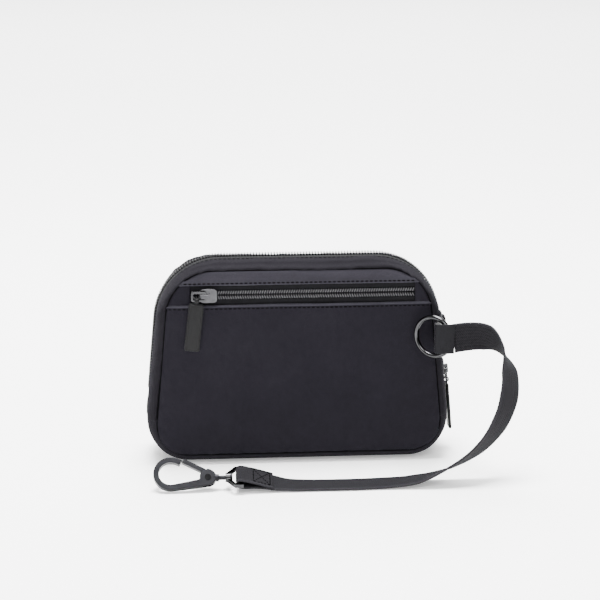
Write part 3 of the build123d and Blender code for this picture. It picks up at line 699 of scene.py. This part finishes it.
def make_end_loop():
    """The strap's end: webbing folded round the clip's bar and sewn down in a box."""
    tip = Vector(STRAP_ROUTE[-1])
    along = (LOOP_BAR - tip).normalized()
    across = Vector((0, -1, -0.2))
    across = (across - along * across.dot(along)).normalized()
    normal = along.cross(across)
    reach = (LOOP_BAR - tip).length
    side_path = [(-1.2, 1.35), (2.0, 1.55), (6.0, 2.0), (11.0, 2.35), (15.0, 2.55), (reach, 2.6),
                 (reach + 2.7, 2.2), (reach + 3.1, 0.0), (reach + 2.7, -2.2), (reach, -2.6),
                 (15.0, -2.2), (11.0, -1.1), (6.0, -0.3), (2.0, 0.05), (-0.6, 0.15)]
    route = [tip + along * a + normal * n for a, n in side_path]
    line = route_line(route, 6)
    loop = ribbon("strap_end", line, [across] * len(line), WEBBING_WIDTH, LOOP_THICKNESS, webbing)
    settle(loop, "front_half", "strap_end_loop")
    rows = []
    corners = [(BOX_LOW, -BOX_EDGE), (BOX_HIGH, -BOX_EDGE), (BOX_HIGH, BOX_EDGE), (BOX_LOW, BOX_EDGE)]
    sides = list(zip(corners, corners[1:] + corners[:1]))
    diagonals = [(corners[0], corners[2]), (corners[3], corners[1])]
    for a, b in sides + diagonals:
        places = []
        for t in np.linspace(0, 1, 12):
            u, v = a[0] + (b[0] - a[0]) * t, a[1] + (b[1] - a[1]) * t
            lift = np.interp(u, [-1.2, 2.0, 6.0, 11.0, 15.0], [1.4, 1.6, 2.0, 2.3, 2.5]) + BOX_LIFT
            places.append(tip + along * u + across * v + normal * lift)
        rows += stitch_rows(places, [normal] * len(places), 1.9)
    sewing = capsules("strap_end_stitches", rows, 1.5, 0.75, 0.6, sewing_thread)
    settle(sewing, "front_half", None)
    return loop, sewing


# ---- side tab, wrapped round the ring's wire ----
TAB_HEIGHT, TAB_WIDTH, TAB_THICKNESS = 86.4, 19.2, 1.2
TAB_SEAM = 8.4              # its stitches, from its middle
TAB_ROUTE = [
    (93.2, -9.0), (93.3, -13.0), (92.9, -17.5), (92.0, -22.0), (90.6, -28.5), (88.6, -34.6), (86.0, -39.7),
    (84.5, -42.6), (84.2, -45.6), (85.6, -47.25), (89.0, -47.5), (93.0, -47.6), (96.1, -47.3)]


def make_tab():
    route = [(x, y, TAB_HEIGHT) for x, y in TAB_ROUTE]
    line = route_line(route, 8)
    lean = np.clip((line[:, 1] + 34.0) / 14.0, 0.0, 1.0)
    across = [(-SLANT * share, 0, 1) for share in lean]
    tab = ribbon("side_tab_webbing", line, across, TAB_WIDTH, TAB_THICKNESS, smooth_tab)
    settle(tab, "front_half", "side_tab")
    rows = []
    for edge in (-TAB_SEAM, TAB_SEAM):
        path = [(x + 0.62 - SLANT * edge, y, TAB_HEIGHT + edge) for x, y, _ in line[:12]]
        rows += stitch_rows(path, [(1, 0, 0)] * len(path), 2.2)
    for row in (line[2], line[11]):
        path = [(row[0] + 0.64 - SLANT * edge, row[1], TAB_HEIGHT + edge)
                for edge in np.linspace(-TAB_SEAM, TAB_SEAM, 10)]
        rows += stitch_rows(path, [(1, 0, 0)] * len(path), 2.2)
    sewing = capsules("side_tab_stitches", rows, 1.7, 0.45, 0.35, sewing_thread)
    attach(sewing, "front_half")


def make_tab_patch():
    """Cloth patch that covers the tab's sewn end."""
    places = np.array([[(94.05 - abs(z - 85.4) ** 4 * 2e-4 - 0.4 * ((y + 15.5) / 3.5) ** 4, y, z)
                        for z in np.linspace(77.5, 93.5, 14)] for y in np.linspace(-19.0, -12.0, 10)])
    patch = cloth_grid("tab_patch_cloth", places, spread_marks(places), gusset_nylon, 1.4)
    settle(patch, "front_half", "tab_stitch_patch")


# ---- gussets ----
# Each profile runs from the panel's seam to the fold beside the zip, as inset and depth.
TOP_PROFILE = [
    (6.9, -22.8), (6.3, -23.9), (5.6, -24.6), (4.7, -24.2), (3.9, -22.4), (3.1, -19.4), (2.2, -16.0),
    (1.3, -12.0), (0.85, -9.6), (0.75, -8.3), (1.0, -7.3), (1.7, -6.8), (2.5, -7.3), (3.0, -8.4)]
SIDE_PROFILE = [
    (6.9, -22.8), (6.3, -23.9), (5.4, -24.6), (4.0, -24.3), (2.3, -22.6), (1.0, -19.6), (0.3, -15.9),
    (0.0, -12.0), (0.15, -9.6), (0.45, -8.3), (0.9, -7.3), (1.7, -6.8), (2.5, -7.3), (3.0, -8.4)]
BASE_PROFILE = [
    (6.9, -22.8), (6.3, -23.9), (5.6, -24.6), (4.5, -24.2), (3.0, -22.4), (1.6, -19.4), (0.6, -14.5),
    (0.1, -8.0)]


def gusset_creases(lengths, profile, seed, strength=1.25):
    """How far each point of a gusset stands out: puckers at its two seams and soft creases across it."""
    run = lengths[:, None] + 0 * profile[None, :, 1]
    y = 0 * lengths[:, None] + profile[None, :, 1]
    spot = smooth_profile_lengths(profile)[None, :] + 0 * run
    seam = np.exp(-spot / 4.5) * ripple(run / 5.2, y / 30, seed)
    hem = np.exp(-(spot[0, -1] - spot) / 3.5) * ripple(run / 6.5, y / 30, seed + 5)
    across = ripple(run / 9.0, y / 26, seed + 9) * 0.24
    broad = ripple(run / 34.0, y / 40, seed + 13) * 0.5
    return (seam * 0.42 + hem * 0.24 + across + broad) * strength


def smooth_profile_lengths(profile):
    return np.concatenate([[0.0], np.cumsum(np.linalg.norm(np.diff(profile, axis=0), axis=1))])


def make_gusset(name, node, body, side, seed):
    """Padded band round the top and sides; side is 1 for the front half and -1 for the rear."""
    profile = smooth_profile(TOP_PROFILE, 30)
    side_profile = smooth_profile(SIDE_PROFILE, 30)
    low = step_at_height(GUSSET_LOW_END)
    steps, lengths = even_steps(low, -low, 1.35)
    push = gusset_creases(lengths, profile, seed)
    corner = np.exp(-((np.abs(steps) - 1.45) / 0.5) ** 2)
    push += corner[:, None] * ripple(lengths[:, None] / 4.6 + 0 * push, 0 * push, seed + 20) * 0.35
    ends = np.minimum(lengths, lengths[-1] - lengths)
    tuck = smooth_step(1 - ends / 2.5)
    push -= tuck[:, None] * 0.9
    if side < 0:
        back = -profile[:, 1]
        push -= REAR_DROP * (smooth_step((back - 5.6) / 1.4) * smooth_step((22.0 - back) / 6.0))[None, :]
    places = sweep_outline(steps, profile, push, side_profile)
    toward_seam = smooth_step((-profile[:, 1] - 12.0) / 11.0)
    places[:, :, 1] += lean_back(places[:, :, 2] + SEAM_INSET - 6.4) * toward_seam[None, :]
    places[:, :, 1] *= side
    if side < 0:
        places = places[::-1]
    gusset = cloth_grid(name, places, spread_marks(places), gusset_nylon, CLOTH_THICKNESS)
    settle(gusset, body, node)


def make_bottom_gusset():
    """Band under the bag, running up both sides to the cross seam where the rear half tilts."""
    rear = [(inset, -y) for inset, y in BASE_PROFILE[::-1]]
    profile = smooth_profile(BASE_PROFILE + [(0.0, 0.0)] + rear, 60)
    low = step_at_height(CROSS_SEAM)
    right, right_lengths = even_steps(5.0, low, 1.6)
    left = -right[::-1]
    steps = np.concatenate([left, right[1:]])
    lengths = np.concatenate([-right_lengths[::-1], right_lengths[1:]])
    push = gusset_creases(lengths, profile, 71.0, 0.45)
    rise = np.array([on_outline(s, 0.0)[1] for s in steps])
    near_top = smooth_step((rise - CROSS_SEAM + 2.6) / 2.2)
    push = push * smooth_step(rise / 12.0)[:, None] * (1 - near_top[:, None]) + near_top[:, None] * 0.15
    push -= smooth_step((rise - CROSS_SEAM + 0.5) / 0.5)[:, None] * 0.9
    places = sweep_outline(steps, profile, push)
    places[:, :, 2] = np.maximum(places[:, :, 2], 0.05)
    gusset = cloth_grid("base_gusset", places, spread_marks(places), gusset_nylon, CLOTH_THICKNESS)
    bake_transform(gusset)
    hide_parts("bottom_gusset")


SEAM_CORD_RADIUS = 0.45
SEAM_CORD_DEPTH = 24.05


def make_seam_cord(name, body, side):
    """The thin dark cord of thread and folded cloth that shows along a panel's seam."""
    steps, _ = even_steps(5.0, -5.0, 2.0)
    turns = np.linspace(0, 2 * pi, 8, endpoint=False)
    places = []
    for step in steps:
        x, z, nx, nz = on_outline(step, SEAM_INSET + 0.35)
        y = -SEAM_CORD_DEPTH + float(lean_back(z))
        ring = [(SEAM_CORD_RADIUS * cos(t), SEAM_CORD_RADIUS * sin(t)) for t in turns]
        places.append([(x + nx * out, (y + back) * side, z + nz * out) for out, back in ring])
    corners = np.array(places[:-1]).reshape(-1, 3)
    count, around = len(places) - 1, len(turns)
    faces = [(i * around + j, i * around + (j + 1) % around,
              (i + 1) % count * around + (j + 1) % around, (i + 1) % count * around + j)
             for i in range(count) for j in range(around)]
    cord = add_piece(name, corners, faces, sewing_thread)
    outward(cord)
    settle(cord, body, None)


# ---- panels ----
def panel_swell(x, z, seed, crown=0.9, pucker=0.4):
    """How far a point of a padded panel stands out from its seam line."""
    inside = np.vectorize(lambda a, b: depth_inside(a, b, SEAM_INSET, PANEL_CORNER, LOW_CORNER - SEAM_INSET))
    depth = np.maximum(inside(x, z), 0.0)
    rim = 1.15 * (1 - np.exp(-depth / 1.3))
    dome = crown * (1 - np.exp(-depth / 15.0))
    near = np.exp(-depth / 6.5)
    side_near = depth < (z - SEAM_INSET) - 0.5
    side_tugs = ripple(0 * x + np.sign(x) * 3, z / 5.4, seed)
    end_tugs = ripple(x / 5.4, 0 * z, seed + 3)
    tugs = np.where(side_near, side_tugs, end_tugs)
    tugs = tugs * near * (1 - np.exp(-depth / 1.6))
    broad = ripple(x / 46.0, z / 34.0, seed + 7) * 0.45 + ripple(x / 17.0, z / 21.0, seed + 11) * 0.13
    return rim + dome + tugs * pucker * 1.6 + broad * (1 - np.exp(-depth / 9.0))


def lean_back(z):
    """How far the panel's top leans back towards its upper seam."""
    share = np.clip((np.asarray(z, float) - LEAN_START) / LEAN_RUN, 0.0, 1.1)
    return LEAN_DEPTH * share ** 1.25


def panel_rows(low, high, spacing):
    count = int((high - low) / spacing)
    rows = np.linspace(low, high, count)
    fine = low + np.array([0.0, 0.15, 0.45, 0.9, 1.5, 2.3])
    return np.unique(np.round(np.concatenate([fine, rows[rows > low + 2.6]]), 3))


def even_columns(count):
    """Shares from -1 to 1, closer together at the ends."""
    even = np.linspace(-1, 1, count)
    return np.sin(even * pi / 2 * 0.86) / sin(pi / 2 * 0.86)


def make_front_panel():
    rows = panel_rows(SEAM_INSET, 103.2, 1.5)
    shares = even_columns(121)
    grid = []
    for z in rows:
        wide = half_width(z, SEAM_INSET)
        grid.append([(share * wide, z) for share in shares])
    grid = np.array(grid)
    x, z = grid[:, :, 0], grid[:, :, 1]
    swell = panel_swell(x, z, 2.0)
    places = np.stack([x, -PANEL_FACE - swell, z], axis=2)
    fold = [(0.45, 103.9), (0.42, 104.3), (0.15, 104.9), (-0.35, 105.35), (-0.95, 105.6), (-1.6, 105.55),
            (-2.0, 105.1), (-2.1, 103.8)]
    last = places[-1].copy()
    sag = ripple(last[:, 0] / 30.0, 0 * last[:, 0], 55.0) * 0.25
    extra = []
    for out, height in fold:
        row = last.copy()
        row[:, 0] = shares * half_width(min(height, WINDOW_LOW), SEAM_INSET)
        row[:, 1] = last[:, 1] * 0.6 + (-25.2) * 0.4 - out
        row[:, 2] = height + sag * smooth_step((height - 103) / 2)
        extra.append(row)
    places = np.concatenate([places, np.array(extra)])
    panel = cloth_grid("front_panel_cloth", places, spread_marks(places), panel_nylon, CLOTH_THICKNESS)
    settle(panel, "front_half", "front_panel")
    return places


def make_top_strip():
    fold = [(-2.0, 119.9), (-2.0, 118.9), (-1.4, 118.25), (-0.6, 118.1), (0.1, 118.35), (0.45, 118.9),
            (0.4, 119.5)]
    rows = [120.0, 120.6, 121.4, 122.3, 123.2, 124.1, 125.0, 125.7, 126.2, 126.6, 126.85, 127.0]
    shares = even_columns(101)
    places = []
    for out, z in fold:
        wide = half_width(max(z, WINDOW_HIGH), SEAM_INSET)
        sag = ripple(shares * wide / 26.0, 0 * shares, 61.0) * 0.25
        depth = -24.9 - out + lean_back(z) + 0 * shares
        places.append(np.stack([shares * wide, depth, z + sag], axis=1))
    for z in rows:
        wide = max(half_width(z, SEAM_INSET), 50.0)
        x = shares * wide
        swell = panel_swell(x, np.full_like(x, z), 2.0, crown=0.5)
        blend = smooth_step((z - 119.5) / 3.0)
        depth = -PANEL_FACE - swell * blend - 1.5 * (1 - blend) + lean_back(z)
        places.append(np.stack([x, depth, np.full_like(x, z)], axis=1))
    places = np.array(places)
    strip = cloth_grid("top_strip_cloth", places, spread_marks(places), strip_nylon_painted_lighter, 1.0)
    settle(strip, "front_half", "front_top_strip")


def make_end_patch(name, node, inner, sign, seed):
    """Cloth that closes the end of the pocket zip's window."""
    rows = np.linspace(104.4, 119.6, 14)
    shares = np.linspace(0, 1, 20)
    places = []
    for z in rows:
        wide = half_width(z, SEAM_INSET) * sign
        x = inner + (wide - inner) * shares
        y = -24.2 + 0.5 * np.exp(-shares * 30) + ripple(x / 9.0, np.full_like(x, z / 9.0), seed) * 0.15
        y = y + 0.9 * np.exp(-(1 - shares) * abs(wide - inner) / 1.2)
        places.append(np.stack([x, y, np.full_like(x, z)], axis=1))
    places = np.array(places)
    if sign < 0:
        places = places[:, ::-1]
    patch = cloth_grid(name, places, spread_marks(places), panel_nylon, 0.8)
    settle(patch, "front_half", node)


def make_rear_panel():
    rows = panel_rows(SEAM_INSET, 126.0, 1.8)
    rows = np.concatenate([rows, [126.4, 126.75, 127.0]])
    shares = even_columns(101)
    grid = np.array([[(share * half_width(z, SEAM_INSET), z) for share in shares] for z in rows])
    x, z = grid[:, :, 0], grid[:, :, 1]
    places = np.stack([x, PANEL_FACE + panel_swell(x, z, 31.0) - lean_back(z), z], axis=2)[:, ::-1]
    panel = cloth_grid("rear_panel_cloth", places, spread_marks(places), rear_nylon, CLOTH_THICKNESS)
    settle(panel, "rear_half", "rear_panel")


# ---- linings, seen when the pouch is open ----
def make_lining(name, node, body, side):
    """Thin cloth inside one half: down the gusset and over the panel's inner face."""
    profile = [(4.6, -8.0), (5.6, -12.0), (6.8, -15.6), (8.4, -18.2), (10.8, -20.0)]
    steps, lengths = even_steps(5.0, -5.0, 4.0)
    rows = []
    for inset, y in profile:
        push = ripple(lengths / 9.0, 0 * lengths, 80.0 + y) * -0.2
        push[-1] = push[0]
        line = [on_outline(step, inset) for step in steps]
        rows.append([(x, y, z - p * 0.5) for (x, z, _, _), p in zip(line, push)])
    rim = np.array(rows[-1])
    centre = np.array([0.0, -21.0, 64.0])
    for share in (0.93, 0.8, 0.62, 0.42, 0.22, 0.0):
        ring = centre + (rim - centre) * share
        wave = ripple(ring[:, 0] / 16.0, ring[:, 2] / 16.0, 90.0) * 0.22
        ring[:, 1] = -20.9 + wave * min(1, (1 - share) * 5)
        rows.append(ring)
    places = np.array(rows, float).transpose(1, 0, 2)
    inner = smooth_step((-places[:, :, 1] - 9.0) / 8.0)
    places[:, :, 1] += lean_back(places[:, :, 2] + 4.0) * inner
    places[:, :, 1] *= side
    if side > 0:
        places = places[::-1]
    lining = cloth_grid(name, places, spread_marks(places), lining_cloth)
    only(lining)
    bpy.ops.object.mode_set(mode="EDIT")
    bpy.ops.mesh.select_all(action="SELECT")
    bpy.ops.mesh.remove_doubles(threshold=0.00002)
    bpy.ops.mesh.normals_make_consistent(inside=False)
    bpy.ops.object.mode_set(mode="OBJECT")
    apply_modifier(lining, "SOLIDIFY", thickness=0.5 * MM, offset=0.0)
    settle(lining, body, node)


def make_pocket_bag():
    """The pocket's two thin plies, hanging behind the front panel."""
    heights = np.concatenate([np.linspace(105.0, 36.6, 30), [36.2, 36.6], np.linspace(37.2, 105.0, 30)])
    depths = np.concatenate([np.full(30, -22.35), [-21.8, -21.25], np.full(30, -21.2)])
    across = np.linspace(WINDOW_LEFT + 0.4, WINDOW_RIGHT - 0.4, 50)
    places = []
    for z, y in zip(heights, depths):
        wave = ripple(across / 18.0, np.full_like(across, z / 18.0), 40.0) * 0.06
        places.append(np.stack([across, y + wave, np.full_like(across, z)], axis=1))
    places = np.array(places)
    bag = cloth_grid("pocket_bag_cloth", places, spread_marks(places), lining_cloth, 0.2)
    settle(bag, "front_half", "pocket_bag")


# ---- zips ----
def make_pocket_zip():
    for name, node, low, high in (("pocket_tape_low", "pocket_tape_lower", 103.2, 111.0),
                                  ("pocket_tape_high", "pocket_tape_upper", 112.9, 120.6)):
        across = np.linspace(WINDOW_LEFT - 1.5, WINDOW_RIGHT + 1.5, 60)
        rows = np.linspace(low, high, 8)
        places = np.array([[(x, -23.0, z) for x in across] for z in rows])
        places[:, :, 1] += ripple(places[:, :, 0] / 12.0, places[:, :, 2] / 12.0, 22.0) * 0.05
        tape = cloth_grid(name, places, spread_marks(places), tape_cloth, 0.45)
        settle(tape, "front_half", node)
    pitch = 1.55
    count = int((WINDOW_RIGHT - WINDOW_LEFT) / pitch)
    for name, node, z, lean in (("pocket_teeth_low", "pocket_coil_lower", 110.3, -0.42),
                                ("pocket_teeth_high", "pocket_coil_upper", 113.6, 0.42)):
        rows = [((WINDOW_LEFT + (k + 0.5) * pitch, -23.62, z), (lean, 0, 1), (0, -1, 0))
                for k in range(count)]
        teeth = capsules(name, rows, 2.5, 0.72, 1.2, bright_coil)
        settle(teeth, "front_half", node)
    pitch = 2.3
    count = int((WINDOW_RIGHT - WINDOW_LEFT) / pitch)
    for name, z in (("pocket_cord_low", 109.15), ("pocket_cord_high", 114.75)):
        rows = [((WINDOW_LEFT + (k + 0.5) * pitch, -23.45, z), (1, 0, 0.15), (0, -1, 0))
                for k in range(count)]
        line = capsules(name, rows, 2.0, 0.5, 0.5, sewing_thread)
        settle(line, "front_half", None)


def make_main_zip(side, body, front):
    """Tape and coil of one half of the main zip."""
    low = step_at_height(31.6)
    steps, lengths = even_steps(low, -low, 1.6)
    tape_line = [(1.3, -0.95), (0.75, -3.2), (1.0, -5.4), (2.0, -7.2), (2.75, -8.8)]
    if side < 0:
        tape_line = [(1.3, -0.95), (1.0, -3.2), (2.1, -5.4), (3.7, -7.2), (4.6, -8.8)]
    profile = smooth_profile(tape_line, 12)
    along, over = lengths[:, None] / 11.0, profile[None, :, 1]
    push = ripple(along + 0 * over, 0 * along + over, 44.0) * 0.08
    places = sweep_outline(steps, profile[::-1], push)
    places[:, :, 1] *= side
    if side < 0:
        places = places[::-1]
    tape = cloth_grid(front + "_zip_tape_cloth", places, spread_marks(places), tape_cloth, 0.5)
    settle(tape, body, front + "_zip_tape")
    end = step_at_height(COIL_END + 0.6)
    steps, _ = even_steps(end, -end, TOOTH_PITCH)
    rows = []
    for step in steps:
        x, z, nx, nz = on_outline(step, 0.1)
        rows.append(((x, -2.1 * side, z), (-nz * 0.06 * side, -side, nx * 0.06 * side), (nx, 0, nz)))
    teeth = capsules(front + "_teeth", rows, 2.5, 1.0, 2.2, coil_plastic)
    settle(teeth, body, front + "_zip_coil")


def edge_stitches(name, body, inset, y, out, pitch=2.9, length=2.0):
    low = step_at_height(CROSS_SEAM + 1.5)
    steps, _ = even_steps(low, -low, 1.5)
    line, outs = [], []
    for step in steps:
        x, z, nx, nz = on_outline(step, inset - out)
        line.append((x, y, z))
        outs.append((nx, 0, nz))
    sewing = capsules(name, stitch_rows(line, outs, pitch), length, 0.42, 0.34, sewing_thread)
    settle(sewing, body, None)


def panel_stitches(name, z, y, pitch=2.9):
    wide = half_width(z, SEAM_INSET) - 1.2
    x = np.linspace(-wide, wide, 160)
    line = [(a, y(a), z) for a in x]
    rows = stitch_rows(line, [(0, -1, 0)] * len(line), pitch)
    sewing = capsules(name, rows, 2.0, 0.9, 0.5, sewing_thread)
    settle(sewing, "front_half", None)


# ---- hardware ----
def cast_copy(name, node, body, voxel, material, ease=4):
    """A finished copy of a CAD metal part, with its hard edges rounded as cast."""
    source = nodes[node]
    mesh = source.data.copy()
    mesh.materials.clear()
    mesh.materials.append(material)
    piece = bpy.data.objects.new(name, mesh)
    bpy.context.scene.collection.objects.link(piece)
    only(piece)
    bpy.ops.object.mode_set(mode="EDIT")
    bpy.ops.mesh.select_all(action="SELECT")
    bpy.ops.mesh.remove_doubles(threshold=0.00001)
    bpy.ops.object.mode_set(mode="OBJECT")
    apply_modifier(piece, "REMESH", mode="VOXEL", voxel_size=voxel * MM, adaptivity=0.0,
                   use_smooth_shade=True)
    apply_modifier(piece, "SMOOTH", factor=0.5, iterations=ease)
    piece.data.materials.clear()
    piece.data.materials.append(material)
    piece.data.polygons.foreach_set("use_smooth", [True] * len(piece.data.polygons))
    settle(piece, body, node)
    return piece


def rounded_frame(half_wide, half_long, radius, corner=6):
    """Points round a rectangle with rounded corners."""
    points = []
    for turn, (sx, sy) in enumerate(((1, 1), (-1, 1), (-1, -1), (1, -1))):
        for k in range(corner + 1):
            angle = turn * pi / 2 + k * pi / 2 / corner
            points.append((sx * (half_wide - radius) + radius * cos(angle),
                           sy * (half_long - radius) + radius * sin(angle)))
    return points


def make_pull(name, node, body, origin, right, face, material):
    """A pressed leather pull: a leaf with a raised line round each face, and an eye round its wire."""
    right, face = Vector(right).normalized(), Vector(face).normalized()
    up = face.cross(right)
    half_wide, half_long, middle = 4.75, 15.5, -17.5
    front_face = [(3.6, 0.86), (2.2, 0.80), (1.25, 0.76), (1.08, 0.98), (0.9, 1.03), (0.72, 0.98),
                  (0.56, 0.78), (0.3, 0.76), (0.1, 0.68), (0.0, 0.5)]
    levels = front_face + [(inset, -height) for inset, height in front_face[::-1]]
    corners, faces = [], []
    for inset, height in levels:
        ring = rounded_frame(half_wide - inset, half_long - inset, max(1.2 - inset * 0.8, 0.2))
        corners += [(x, y + middle, height) for x, y in ring]
    count = len(corners) // len(levels)
    faces = [tuple(reversed(f)) for f in grid_faces(len(levels), count, ring=True)]
    faces.append(tuple(range(count)))
    faces.append(tuple(reversed(range(len(corners) - count, len(corners)))))
    leaf = add_piece(name, corners, faces, material)
    leaf.data.transform(Matrix.Scale(1 / MM, 4))
    only(leaf)
    bpy.ops.mesh.primitive_torus_add(major_segments=40, minor_segments=12, major_radius=1.6, minor_radius=0.4)
    eye = bpy.context.active_object
    eye.data.transform(Matrix.Rotation(pi / 2, 4, "Y") @ Matrix.Diagonal((1, 1, 3.6, 1)))
    bpy.ops.mesh.primitive_cube_add(size=1)
    neck = bpy.context.active_object
    only(neck)
    neck.data.transform(Matrix.Translation((0, -2.3, 0)) @ Matrix.Diagonal((2.9, 1.8, 1.3, 1)))
    apply_modifier(neck, "BEVEL", width=0.2, segments=3)
    for part in (eye, neck, leaf):
        part.select_set(True)
    bpy.context.view_layer.objects.active = leaf
    bpy.ops.object.join()
    turn = Matrix((right, up, face)).transposed().to_4x4()
    leaf.data.transform(Matrix.Translation(Vector(origin) * MM) @ turn @ Matrix.Scale(MM, 4))
    leaf.data.materials.clear()
    leaf.data.materials.append(material)
    only(leaf)
    bpy.ops.object.shade_smooth_by_angle(angle=radians(40))
    outward(leaf)
    settle(leaf, body, node)


# ---- build ----
place_camera()
smooth_tab = woven_nylon("tab_nylon", tone(0.0045, 0.0045, 0.0052), tone(0.0120, 0.0118, 0.0135), 0.4)
strap, strap_line = make_strap()
end_loop, end_stitches = make_end_loop()
make_tab()
make_gusset("front_gusset_cloth", "front_gusset", "front_half", 1, 11.0)
make_gusset("rear_gusset_cloth", "rear_gusset", "rear_half", -1, 47.0)
make_bottom_gusset()
panel_places = make_front_panel()
make_top_strip()
make_end_patch("window_end_left", "zip_end_patch_left", WINDOW_LEFT, -1, 3.0)
make_end_patch("window_end_right", "zip_end_patch_right", WINDOW_RIGHT, 1, 5.0)
make_rear_panel()
make_lining("front_lining_cloth", "front_lining", "front_half", 1)
make_lining("rear_lining_cloth", "rear_lining", "rear_half", -1)
make_pocket_bag()
make_seam_cord("front_seam_cord", "front_half", 1)
make_seam_cord("rear_seam_cord", "rear_half", -1)
make_pocket_zip()
make_main_zip(1, "front_half", "front")
make_main_zip(-1, "rear_half", "rear")
edge_stitches("front_edge_stitches", "front_half", 0.9, -9.4, 0.12)
edge_stitches("rear_edge_stitches", "rear_half", 2.75, 9.4, 0.12)


def panel_surface(x):
    """Depth of the front panel just under its folded edge."""
    row = panel_places[np.argmin(np.abs(panel_places[:, 60, 2] - 103.2))]
    order = np.argsort(row[:, 0])
    return float(np.interp(x, row[order, 0], row[order, 1])) - 0.12


panel_stitches("panel_fold_stitches", 103.4, panel_surface)
panel_stitches("strip_fold_stitches", 119.7, lambda x: -25.35)

cast_copy("pocket_zip_slider", "pocket_slider", "pocket_slider", 0.14, slider_metal)
cast_copy("pocket_wire_link", "pocket_pull_link", "pocket_link", 0.11, gunmetal, 5)
cast_copy("main_zip_slider", "main_slider", "main_slider", 0.14, slider_metal)
cast_copy("main_wire_link", "main_pull_link", "main_link", 0.11, gunmetal, 5)
hook = cast_copy("swivel_hook", "clip_hook", "clip_hook", 0.2, cast_metal, 5)
gate = cast_copy("swivel_gate", "clip_gate", "clip_gate", 0.16, cast_metal, 4)
lean = radians(6.5)
make_pull("pocket_leather_pull", "pocket_pull_tab", "pocket_pull", (-65.176, -27.35, 109.35),
          (cos(lean), 0, -sin(lean)), (0, -1, 0), pressed_leather)
make_pull("main_leather_pull", "main_pull_tab", "main_pull", (98.64347, 0, 46.67013),
          (0, 1, 0), (1, 0, 0.085), pressed_leather)

for node in ("side_ring", "clip_eye", "clip_rivet", "front_zip_stops", "rear_zip_stops"):
    nodes[node].data.materials.clear()
    nodes[node].data.materials.append(gunmetal)

make_tab_patch()


# ---- floor and light ----
def make_floor():
    bpy.ops.mesh.primitive_plane_add(size=24.0, location=(0, 6.0, -0.0003))
    floor = bpy.context.active_object
    floor.name = "floor"
    paper = Finish("pale_floor", Specular_IOR_Level=0.0, Roughness=1.0)
    paper.drive("Base Color", paper.blend(paper.grain(paper.coordinates("Object"), 3.0),
                                          tone(0.90, 0.90, 0.90), tone(0.94, 0.94, 0.94)))
    paper.shader.inputs["Emission Color"].default_value = tone(1, 1, 1)
    paper.shader.inputs["Emission Strength"].default_value = 0.35
    floor.data.materials.append(paper.material)


def add_light(name, place, target, width, height, power):
    lamp = bpy.data.lights.new(name, "AREA")
    lamp.shape = "RECTANGLE"
    lamp.size, lamp.size_y = width, height
    lamp.energy = power
    holder = bpy.data.objects.new(name, lamp)
    bpy.context.scene.collection.objects.link(holder)
    holder.location = place
    holder.rotation_euler = (Vector(target) - Vector(place)).to_track_quat("-Z", "Y").to_euler()


make_floor()
world = bpy.data.worlds.new("studio")
bpy.context.scene.world = world
world.use_nodes = True
world.node_tree.nodes["Background"].inputs["Color"].default_value = tone(1, 1, 1)
world.node_tree.nodes["Background"].inputs["Strength"].default_value = 0.95
add_light("top_light", (-0.05, 0.1, 1.7), (0, 0, 0.05), 0.9, 0.8, 150.0)
add_light("fill_light", (-0.1, -1.5, 1.5), (0, 0, 0.05), 1.3, 0.8, 30.0)
add_light("far_light", (0.0, 2.6, 2.4), (0, 2.2, 0.0), 3.0, 2.0, 310.0)
add_light("front_light", (-0.5, -1.7, 1.1), (0, 0, 0.06), 0.3, 1.0, 8.0)
